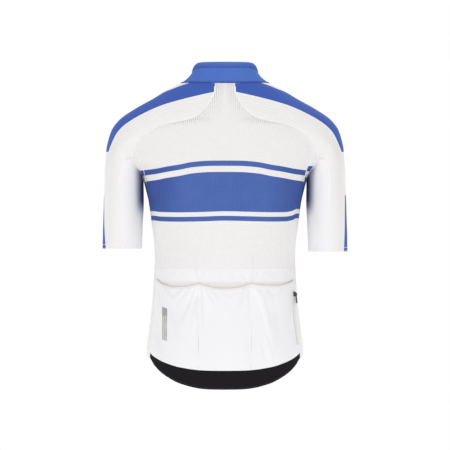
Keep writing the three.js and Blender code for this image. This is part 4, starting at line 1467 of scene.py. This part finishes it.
def pocket_lift(side):
    """A pocket's distance off the lower back, with its raised hem and its creases."""

    def lift(x, z):
        below = mouth_height(side, x) - z
        edge = POCKET_HEM["height"]
        hem = POCKET_HEM["raised"] * (1 - rise(below, edge, edge + POCKET_HEM["step"]))
        creases = CREASE_RELIEF * crease_height(side * x, z) * rise(below, edge, 10)
        return pocket_base(side, x, z) + hem + creases

    return lift


def shaded_gathers(point, x, z):
    """Painted shade from the pockets' open mouths on the lower back, over ribs where their elastic draws the
    cloth in: a band just above their mouths.
    """
    inside = 1 - rise(np.abs(x), 140, 150)
    above = rise(z, mouth_at(x) - 6, mouth_at(x) - 3)
    return rise(z, SHADED_GATHERS_TOP + 1, SHADED_GATHERS_TOP - 3) * above * inside


def pocket_patch(side, width, start, end):
    """A pocket's cloth between two seams, from its mouth to the band."""
    rows = skirt_rows(BACK, side, MOUTH_ROW, BAND_ROW, step=FINE_STEP)
    return patch(BODY, BACK, side, rows, columns_for(width, FINE_STEP), start, end, pocket_lift(side))


def pockets():
    """The two side pockets, and the one between them, which is made in two halves."""
    tack = constant(POCKET_TACK_X)
    for side in SIDES:
        grid = pocket_patch(side, 125, after(tack), before(SIDE_SEAM[BACK]))
        piece = shell(side_name("pocket_cloth", side), [grid], SMOOTH, shade=pocket_hem, relief=back_relief)
        stand_for(piece, side_name("pocket", side))
    halves = [pocket_patch(side, POCKET_TACK_X, constant(0), before(tack)) for side in SIDES]
    piece = shell("pocket_cloth_centre", halves, SMOOTH, shade=pocket_hem, relief=back_relief)
    stand_for(piece, "pocket_centre")


def below_film_top(point, x, z):
    """The film's pattern starts a quarter of the way down."""
    start = mix(REFLECTIVE["top"], REFLECTIVE["bottom"], 0.25)
    return rise(start - z, -0.5, 0.5)


def reflective_strip():
    """The reflecting film on the left pocket, cut at a slant."""
    at = np.linspace(REFLECTIVE["top"], REFLECTIVE["bottom"], 25)
    middle = (REFLECTIVE["inner"] + REFLECTIVE["outer"]) / 2
    half = TORSO["half"](at)[:, None]

    def height(share):
        return at[:, None] + REFLECTIVE["slant"] * (share * half - middle)

    def lift(x, z):
        return pocket_base(LEFT, x, z) + LAYER_GAP

    ends = (constant(REFLECTIVE["inner"]), constant(REFLECTIVE["outer"]))
    grid = patch(BODY, BACK, LEFT, (at, height), 5, *ends, lift)
    piece = shell("reflective_film", [grid], FILM, thick=0.2, shade=below_film_top)
    stand_for(piece, "reflective_strip")


def collar_at(height, face, side, x):
    """Points of the collar's outer face, at a share of its height above the neck seam."""
    s = section(0.0)
    seam, _ = surface_at(BODY, face, side, x, 0.0)
    share = np.abs(seam[..., 1] - s["side"][BODY]) / s["body_reach"][face]
    narrow = COLLAR_TOP["half"] / s["out"]
    widening = rise(x, COLLAR_TOP["widens_from"], COLLAR_TOP["widens_to"])
    scale = narrow if face == BACK else mix(1, narrow, widening)
    reach = COLLAR_TOP["back"] if face == BACK else COLLAR_TOP["front"]
    top_y = COLLAR_TOP["side"] + face * share * reach
    angle = np.degrees(np.arctan2(x / s["out"], -face * share))
    flare = (1 - height) ** 2
    point = np.stack(
        [
            mix(seam[..., 0] * scale, seam[..., 0], flare),
            mix(top_y, seam[..., 1], flare),
            mix(seam[..., 2] + COLLAR_GAP, COLLAR_EDGE["z"](angle), height),
        ],
        -1,
    )
    return point, COLLAR_ROLL(height) * COLLAR_EDGE["roll"](angle)


def neck_points(face, start):
    """The x of points along a quarter of the neck seam."""
    zero = np.zeros(1)
    seam = after(RAGLAN[face])(zero)
    near = evenly(zero, BODY, face, zero + start, seam, columns_for(24))[0]
    far = evenly(zero, ARM, face, sleeve_column(face)(zero), SLEEVE["out"](zero), columns_for(90))[0]
    return np.concatenate([near, far])


def along_grid(point):
    """Outward directions of a grid of points."""
    return unit(np.cross(np.gradient(point, axis=0), np.gradient(point, axis=1)))


def fold_share(height):
    """How far into the stitched fold a height of the collar is, from 0 to 1."""
    return np.exp(-(((height - COLLAR_FOLD["at"]) / COLLAR_FOLD["half"]) ** 2))


def collar_deep(point, x, share):
    """Painted shade on the collar's blue: darker in the fold under its roll and at its base by the neck seam.
    """
    return 0.7 * fold_share(share) + 0.5 * (1 - rise(share, 0.02, 0.12))


def collar_ring(height):
    """Rows of points round the collar, from one side of the zip to the other, and their roll."""
    points, rolls = [], []
    for side, face in COLLAR_QUARTERS:
        x = neck_points(face, ZIP["panel_edge"] if face == FRONT else 0)
        point, roll = collar_at(height, face, side, x[None, :])
        roll = np.broadcast_to(roll, point.shape[:2])
        if face * side == FRONT:
            point, roll = point[:, ::-1], roll[:, ::-1]
        repeated = 1 if points else 0
        points.append(point[:, repeated:])
        rolls.append(roll[:, repeated:])
    return np.concatenate(points, axis=1), np.concatenate(rolls, axis=1)


def collar():
    """The stand collar, with its roll and the stitched fold under it."""
    height = np.linspace(1, 0, 41)[:, None]
    point, roll = collar_ring(height)
    normal = along_grid(point)
    fold = COLLAR_FOLD["depth"] * fold_share(height)
    point = point + normal * (roll - fold)[..., None]
    across = np.linalg.norm(np.diff(point, axis=1), axis=-1)
    u = np.concatenate([np.zeros((len(point), 1)), np.cumsum(across, axis=1)], axis=1)
    shares = np.broadcast_to(height, u.shape)
    grid = Grid(point, normal, np.stack([u, shares * 50], -1) * MM, point[..., 0], shares)
    piece = shell("collar_cloth", [grid], COLLAR_KNIT, COLLAR_CLOTH, collar_print, deep=collar_deep)
    stand_for(piece, "collar")


def zip_line():
    """The line of the front zip, from the collar's top to the hem, with its outward direction."""
    heights = np.linspace(1, 0, 16)[:-1]
    upper = [collar_at(h, FRONT, RIGHT, 0.0)[0] for h in heights]
    body = [surface_at(BODY, FRONT, RIGHT, 0.0, z)[0] for z in levels(0, POCKET_LINE_Z)[0]]
    skirt = skirt_rows(FRONT, RIGHT, 0, HEM_ROW)[1](0.0)[1:, 0]
    lower = [surface_at(BODY, FRONT, RIGHT, 0.0, z)[0] for z in skirt]
    point = np.array([*upper, *body, *lower])
    step = np.gradient(point, axis=0)
    normal = np.stack([0 * step[:, 0], -step[:, 2], step[:, 1]], -1)
    return point, unit(normal)


def ribbon(name, lines, width, height, material, values=None):
    """Raised strips along lines of points on the surface, as one mesh, pointed at both ends."""
    points, faces, places, shades = [], [], [], []
    offset = 0
    for point, normal in lines:
        across = np.cross(unit(np.gradient(point, axis=0)), normal)
        length = lengths_along(point)
        ends = np.minimum(np.minimum(length, length[-1] - length) / width, 1)[:, None]
        for shift, lift in SEAM_PROFILE:
            points.append(point + across * shift * width * (0.3 + 0.7 * ends) + normal * lift * height * ends)
            places.append(np.stack([length, np.full(len(length), shift * width)], -1) * MM)
            shades.append(np.zeros(len(length)) if values is None else values(point))
        count = len(point)
        index = offset + np.arange(count * len(SEAM_PROFILE)).reshape(len(SEAM_PROFILE), count)
        corners = (index[:-1, :-1], index[:-1, 1:], index[1:, 1:], index[1:, :-1])
        faces.append(np.stack(corners, -1).reshape(-1, 4))
        offset += index.size
    shade = {"shade": np.concatenate(shades)}
    made = new_mesh(name, np.concatenate(points), np.concatenate(faces), np.concatenate(places), values=shade)
    made.data.materials.append(material)
    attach(made, "jersey")


def seam_line(part, face, side, seam, rows, lift=0.0):
    """The line of a seam down rows of the surface, with its outward directions."""
    at, height = rows
    x = seam(at)
    z = height(x[:, None] / TORSO["half"](at)[:, None])[:, 0]
    point, normal = surface_at(part, face, side, x, z)
    return point + normal * lift, normal


def in_band(point):
    """A seam takes the band's blue where it crosses it on the body."""
    x, z = point[:, 0], point[:, 2]
    front = point[:, 1] > 0
    inside = np.where(front, side_print(point, x, z), back_print(point, x, z))
    return rise(inside, -0.6, 0.6) * (np.abs(x) < np.where(front, ARM_SIDE[FRONT], ARM_SIDE[BACK]))


def body_seams():
    """The raised lines of the seams round the arms and down the sides."""
    shoulder, sides = [], []
    for side in SIDES:
        for face in FACES:
            shoulder.append(seam_line(BODY, face, side, RAGLAN[face], levels(-6, UNDER_TIP_Z, RAGLAN[face])))
            below = levels(UNDER_TIP_Z - 3, CUFF_Z[side] + 1)
            shoulder.append(seam_line(ARM, face, side, SLEEVE_SEAM, below))
            top = SIDE_TIP_Z[face] - 1
            sides.append(seam_line(BODY, face, side, SIDE_SEAM[face], levels(top, POCKET_LINE_Z)))
            sides.append(seam_line(BODY, face, side, SIDE_SEAM[face], skirt_rows(face, side, 0, HEM_ROW)))
            armhole = levels(UNDER_TIP_Z, ARMPIT_Z + 2)
            sides.append(seam_line(BODY, face, side, lambda z, face=face: armhole_x(face, z), armhole))
    ribbon("shoulder_seams", shoulder, 3.4, 0.45, SEAM)
    ribbon("side_seams", sides, 2.2, 0.3, SEAM, in_band)


def skirt_line(face, row, lift=0.0, shift=0.0):
    """A line along one of the skirt's numbered rows: one across the back, or two on the front."""
    halves = []
    for side in SIDES:
        z = float(skirt_rows(face, side, row, row + 1)[0][0])
        half = float(TORSO["half"](z))
        end = float(SIDE_SEAM[face](z))
        x = np.linspace(ZIP["panel_edge"] if face == FRONT else 0, end, 70)
        height = skirt_height(face, side, np.full(len(x), float(row)), x / half) + shift
        point, normal = surface_at(BODY, face, side, x / half * TORSO["half"](height), height)
        halves.append((point + normal * lift, normal))
    if face == FRONT:
        return halves
    return [tuple(np.concatenate([left[:0:-1], right]) for left, right in zip(*halves))]


def mouth_shade(point):
    """The mouth's edge is in shadow near the body's sides."""
    return 0.15 + 0.85 * rise(np.abs(point[:, 0]), 118, 146)


def trims():
    """The seams across the back, the pockets' edges and stitching, and the hems."""
    ribbon("waist_seam", skirt_line(BACK, 0), 1.6, 0.3, SEAM)
    ribbon("hem_piping", skirt_line(BACK, BAND_ROW, 0.9, 1.1), 2.0, 0.5, SEAM)
    stitching = skirt_line(BACK, HEM_ROW, shift=3.0)
    ribbon("gripper_stitching", stitching, 0.8, 0.25, BLACK_SEAM)
    front_hem = skirt_line(FRONT, HEM_ROW, shift=12.0) + skirt_line(FRONT, HEM_ROW, shift=10.2)
    ribbon("front_hem_stitching", front_hem, 0.7, 0.2, SEAM)
    pocket_trims()
    tack_bars()
    cuffs()


def pocket_trims():
    """The pockets' mouth edges, grey with painted shadow, and the stitching between the pockets."""
    edges, tacks = [], []
    for side in SIDES:
        outer = float(SIDE_SEAM[BACK](mouth_height(side, 150))) - 1.5
        edges.append(mouth_edge(side, 0.0, POCKET_TACK_X - 0.6))
        edges.append(mouth_edge(side, POCKET_TACK_X + 0.6, outer))
        rows = skirt_rows(BACK, side, MOUTH_ROW, BAND_ROW)
        point, normal = seam_line(BODY, BACK, side, constant(POCKET_TACK_X), rows, LAYER_GAP + POCKET_CLOTH)
        tacks.append((point[:-2], normal[:-2]))
    # Grey strips of painted shadow along the pockets' mouths.
    ribbon("pocket_mouth_edge_shadows", edges, 1.2, 0.5, SHADOW_STRIP, mouth_shade)
    ribbon("pocket_stitching", tacks, 2.0, 0.3, SEAM)


def mouth_edge(side, start, end):
    """The line along a pocket's mouth from one x to another."""
    x = np.linspace(start, end, 60)
    z = skirt_mouth(side, x)
    point, normal = surface_at(BODY, BACK, side, x, z)
    return point + normal * (pocket_base(side, x, z) + 0.25)[:, None], normal


def skirt_mouth(side, x):
    """The height of a pocket's mouth at x, as the pocket's shell has it."""
    z = mouth_height(side, x)
    return mouth_height(side, x / TORSO["half"](z) * MOUTH_HALF)


def tack_bars():
    """The bar tacks that hold the pockets' corners."""
    bars = []
    for side in SIDES:
        z = np.linspace(-436.5, -444.5, 9)
        point, normal = surface_at(BODY, BACK, side, np.full(9, POCKET_TACK_X), z)
        bars.append((point + normal * (LAYER_GAP + POCKET_CLOTH + 0.3), normal))
    ribbon("bar_tacks", bars, 2.6, 0.6, SEAM)


def arm_ring(side, z):
    """The line round an arm at one height."""
    rings = []
    for face in FACES:
        at = np.array([float(z)])
        x = evenly(at, ARM, face, SLEEVE["in"](at), SLEEVE["out"](at), 60)[0]
        point, normal = surface_at(ARM, face, side, x, np.full(len(x), float(z)))
        rings.append((point, normal) if face == BACK else (point[::-1], normal[::-1]))
    (back, back_normal), (front, front_normal) = rings
    return np.concatenate([back, front[1:]]), np.concatenate([back_normal, front_normal[1:]])


def cuffs():
    """Two rows of stitching round each cuff."""
    for side in SIDES:
        lines = [arm_ring(side, CUFF_Z[side] + up) for up in (1.2, 9.0)]
        ribbon(side_name("cuff_stitching", side), lines, 1.0, 0.25, SEAM)


def collar_seam():
    """The raised line where the collar is sewn to the neck."""
    line = collar_ring(np.full((1, 1), COLLAR_SEAM_AT))[0][0]
    along = np.gradient(line, axis=0)
    out = unit(np.stack([along[:, 1], -along[:, 0], 0 * along[:, 0]], -1))
    ribbon("collar_seam", [(line, out)], 2.2, 0.7, BLUE_SEAM)


def zip_strip(name, from_x, to_x, columns, raised, material):
    """A strip of the front zip between two x, raised off the zip's line."""
    point, normal = zip_line()
    x = np.linspace(to_x, from_x, columns + 1)
    normal = np.repeat(normal[:, None], columns + 1, axis=1)
    places = point[:, None] + normal * raised
    places[..., 0] = x
    cloth = np.stack(np.broadcast_arrays(x, lengths_along(point)[:, None]), -1) * MM
    return shell(name, [Grid(places, normal, cloth, places[..., 0], places[..., 2])], material)


def tooth_faces():
    """The quads of one tooth: between its rings, and over both ends."""
    last = (len(TOOTH_RINGS) - 1) * TOOTH_CORNERS
    faces = []
    for ring in range(0, last, TOOTH_CORNERS):
        for turn in range(TOOTH_CORNERS):
            a, b = ring + turn, ring + (turn + 1) % TOOTH_CORNERS
            faces.append((a, b, b + TOOTH_CORNERS, a + TOOTH_CORNERS))
    for cap in ((0, 1, 2, 3), (4, 5, 6, 7), (0, 3, 4, 7)):
        faces += [cap[::-1], tuple(last + i for i in cap)]
    return np.array(faces)


def zip_teeth():
    """Both rows of the coil's teeth, each a short rounded bar across the chain."""
    point, normal = zip_line()
    length = lengths_along(point)
    along = 3 + np.arange(int((length[-1] - 6) / TOOTH["pitch"])) * TOOTH["pitch"]
    middle = np.stack([np.interp(along, length, point[:, i]) for i in range(3)], -1)
    out = np.stack([np.interp(along, length, normal[:, i]) for i in range(3)], -1)
    down = np.cross(np.array([1.0, 0, 0]), out)
    turns = np.linspace(0, 2 * math.pi, TOOTH_CORNERS + 1)[:-1]
    rows = []
    for side in SIDES:
        centre = middle + out * 0.45 + down * side * TOOTH["pitch"] / 4
        tooth = []
        for reach, size in TOOTH_RINGS:
            place = centre + np.array([side * reach * TOOTH["reach"], 0, 0])
            for turn in turns:
                wide = down * math.cos(turn) * TOOTH["width"] / 2 * size * -side
                high = out * math.sin(turn) * TOOTH["height"] / 2 * size
                tooth.append(place + wide + high)
        rows.append(np.stack(tooth, axis=1))
    teeth = np.concatenate(rows)
    first = np.arange(len(teeth))[:, None, None] * teeth.shape[1]
    made = new_mesh("chain_teeth", teeth.reshape(-1, 3), (first + tooth_faces()).reshape(-1, 4))
    made.data.materials.append(TEETH)
    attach(made, "jersey")


def front_zip():
    """Both tapes, the chain with its teeth, and the stitching beside the zip."""
    edge = ZIP["chain_edge"]
    for side in SIDES:
        low, high = sorted((side * (edge + LAYER_GAP), side * ZIP["tape_edge"]))
        piece = zip_strip(side_name("tape_cloth", side), low, high, 8, 0.0, TAPE)
        stand_for(piece, side_name("zip_tape", side))
    piece = zip_strip("chain_core", -edge, edge, 6, 0.05, TAPE)
    stand_for(piece, "zip_chain")
    zip_teeth()
    stitches = [zip_side(side, ZIP["panel_edge"] + 2.0) for side in SIDES]
    ribbon("zip_topstitching", stitches, 0.7, 0.2, SEAM)


def zip_side(side, x):
    """A line down the front beside the zip."""
    z = levels(-4, POCKET_LINE_Z)[0]
    upper, upper_out = surface_at(BODY, FRONT, side, np.full(len(z), float(x)), z)
    rows = skirt_rows(FRONT, side, 0, HEM_ROW)
    lower, lower_out = seam_line(BODY, FRONT, side, constant(x), rows)
    return np.concatenate([upper, lower[1:]]), np.concatenate([upper_out, lower_out[1:]])


def pocket_zip():
    """The zipped pocket's welded strip, with the closed coil down its middle."""
    at = np.linspace(POCKET_ZIP["top"], POCKET_ZIP["bottom"], 60)
    half = POCKET_ZIP["half"]
    top = LAYER_GAP + POCKET_CLOTH + STRIP_STANDOFF + 0.4

    def lift(x, z):
        across = (x - POCKET_ZIP_X(z)) / half
        coil = 0.45 * np.exp(-((across / 0.28) ** 2))
        edge = 0.3 * rise(np.abs(across), 0.75, 1.0)
        return top + coil - edge

    rows = (at, lambda share: at[:, None] + 0 * share)
    ends = (lambda z: POCKET_ZIP_X(z) - half, lambda z: POCKET_ZIP_X(z) + half)
    grid = patch(BODY, BACK, RIGHT, rows, 14, *ends, lift)
    piece = shell("pocket_zip_tape", [grid], TAPE, thick=0.6)
    stand_for(piece, "pocket_zip")
    # A grey strip of painted shadow along the welt's folded edge.
    ribbon("pocket_zip_welt_shadow", [welt_line(half)], 0.8, 0.35, SHADOW_STRIP, welt_shade)


def welt_line(half):
    """The folded edge of the zipped pocket: down its inner side and round its lower end."""
    down = np.linspace(POCKET_ZIP["top"] - 18, POCKET_ZIP["bottom"] + half, 50)
    turn = np.linspace(0, math.pi, 15)[1:]
    z = np.concatenate([down, POCKET_ZIP["bottom"] + half - (half + 0.4) * np.sin(turn)])
    offset = np.concatenate([np.full(50, -1.0), -np.cos(turn)]) * (half + 0.4)
    x = POCKET_ZIP_X(z) + offset
    point, normal = surface_at(BODY, BACK, RIGHT, x, z)
    lift = LAYER_GAP + POCKET_CLOTH + STRIP_STANDOFF + 0.2
    return point + normal * lift, normal


def welt_shade(point):
    """The fold is in shadow towards the zip's lower end."""
    return 0.5 * rise(-point[:, 2], 500, 560)


def hardware():
    """The sliders and pull tabs keep their solids, with softened edges and their own finishes."""
    finishes = {
        "zip_slider": METAL,
        "zip_pull": METAL,
        "pocket_zip_slider": TAB,
        "pocket_zip_pull": TAB,
    }
    for node, finish in finishes.items():
        part = frame["nodes"][node]
        part.data.materials.clear()
        part.data.materials.append(finish)
        bevel = part.modifiers.new("soft_edges", "BEVEL")
        bevel.width = SOFT_EDGE
        bevel.segments = 2
        bevel.limit_method = "ANGLE"


# The camera, lights and floor.
CAMERA_DISTANCE = 5.0
CAMERA_Z = -0.308
SENSOR = 36
VIEW_WIDTH = 0.99
FLOOR_Z = -1.2
FLOOR_HALF = 1.5
FLOOR_GLOW = 0.45
AMBIENT = 0.66


def camera():
    """The camera straight behind the part, at the photo's angle."""
    data = bpy.data.cameras.new("camera")
    data.sensor_width = SENSOR
    data.lens = SENSOR * CAMERA_DISTANCE / VIEW_WIDTH
    made = bpy.data.objects.new("camera", data)
    made.location = (0, -CAMERA_DISTANCE, CAMERA_Z)
    made.rotation_euler = (math.pi / 2, 0, 0)
    bpy.context.scene.collection.objects.link(made)
    bpy.context.scene.camera = made


def area_light(name, place, size, power):
    """A soft light aimed at the middle of the part."""
    data = bpy.data.lights.new(name, "AREA")
    data.size = size
    data.energy = power
    made = bpy.data.objects.new(name, data)
    made.location = place
    aim = Vector((0, 0, CAMERA_Z)) - Vector(place)
    made.rotation_euler = aim.to_track_quat("-Z", "Y").to_euler()
    bpy.context.scene.collection.objects.link(made)


def studio_floor():
    """A plain floor that gives off a little light of its own."""
    corners = [(x * FLOOR_HALF, y * FLOOR_HALF, FLOOR_Z) for x, y in ((-1, -1), (1, -1), (1, 1), (-1, 1))]
    floor = new_mesh("floor", np.array(corners) / MM, np.array([[0, 1, 2, 3]]))
    graph = Graph("floor_paint")
    tone = graph.mixed(graph.noise(2.0), srgb(246, 246, 246), srgb(250, 250, 250))
    paint = graph.finish(base_color=tone, roughness=0.9, emission_color=tone, emission_strength=FLOOR_GLOW)
    floor.data.materials.append(paint)


def studio_world():
    """A white backdrop all round that lights the part more softly than it looks."""
    world = bpy.data.worlds.new("studio")
    world.use_nodes = True
    tree = world.node_tree
    backdrop = tree.nodes["Background"]
    backdrop.inputs[0].default_value = (1, 1, 1, 1)
    seen = tree.nodes.new("ShaderNodeLightPath").outputs["Is Camera Ray"]
    strength = tree.nodes.new("ShaderNodeMapRange")
    strength.inputs["To Min"].default_value = AMBIENT
    strength.inputs["To Max"].default_value = 1.0
    tree.links.new(seen, strength.inputs["Value"])
    tree.links.new(strength.outputs[0], backdrop.inputs[1])
    bpy.context.scene.world = world


def stage():
    """The floor, the backdrop, and lights for the back, the top and the front."""
    studio_floor()
    studio_world()
    area_light("back_key", (-2.0, -2.4, 1.5), 1.0, 27)
    area_light("back_fill", (2.2, -2.2, 0.5), 1.2, 15)
    area_light("top", (0.0, -1.2, 2.3), 1.4, 7)
    area_light("front_key", (2.0, 2.4, 1.5), 1.0, 25)
    area_light("front_fill", (-2.2, 2.2, 0.5), 1.2, 13)


back_panel()
lower_back()
hem_gripper()
for each in SIDES:
    front_panel(each)
    side_panel(each)
    sleeve(each)
    under_sleeve(each)
pockets()
reflective_strip()
collar()
front_zip()
pocket_zip()
hardware()
body_seams()
trims()
collar_seam()
camera()
stage()
bpy.context.scene.view_settings.view_transform = "Standard"
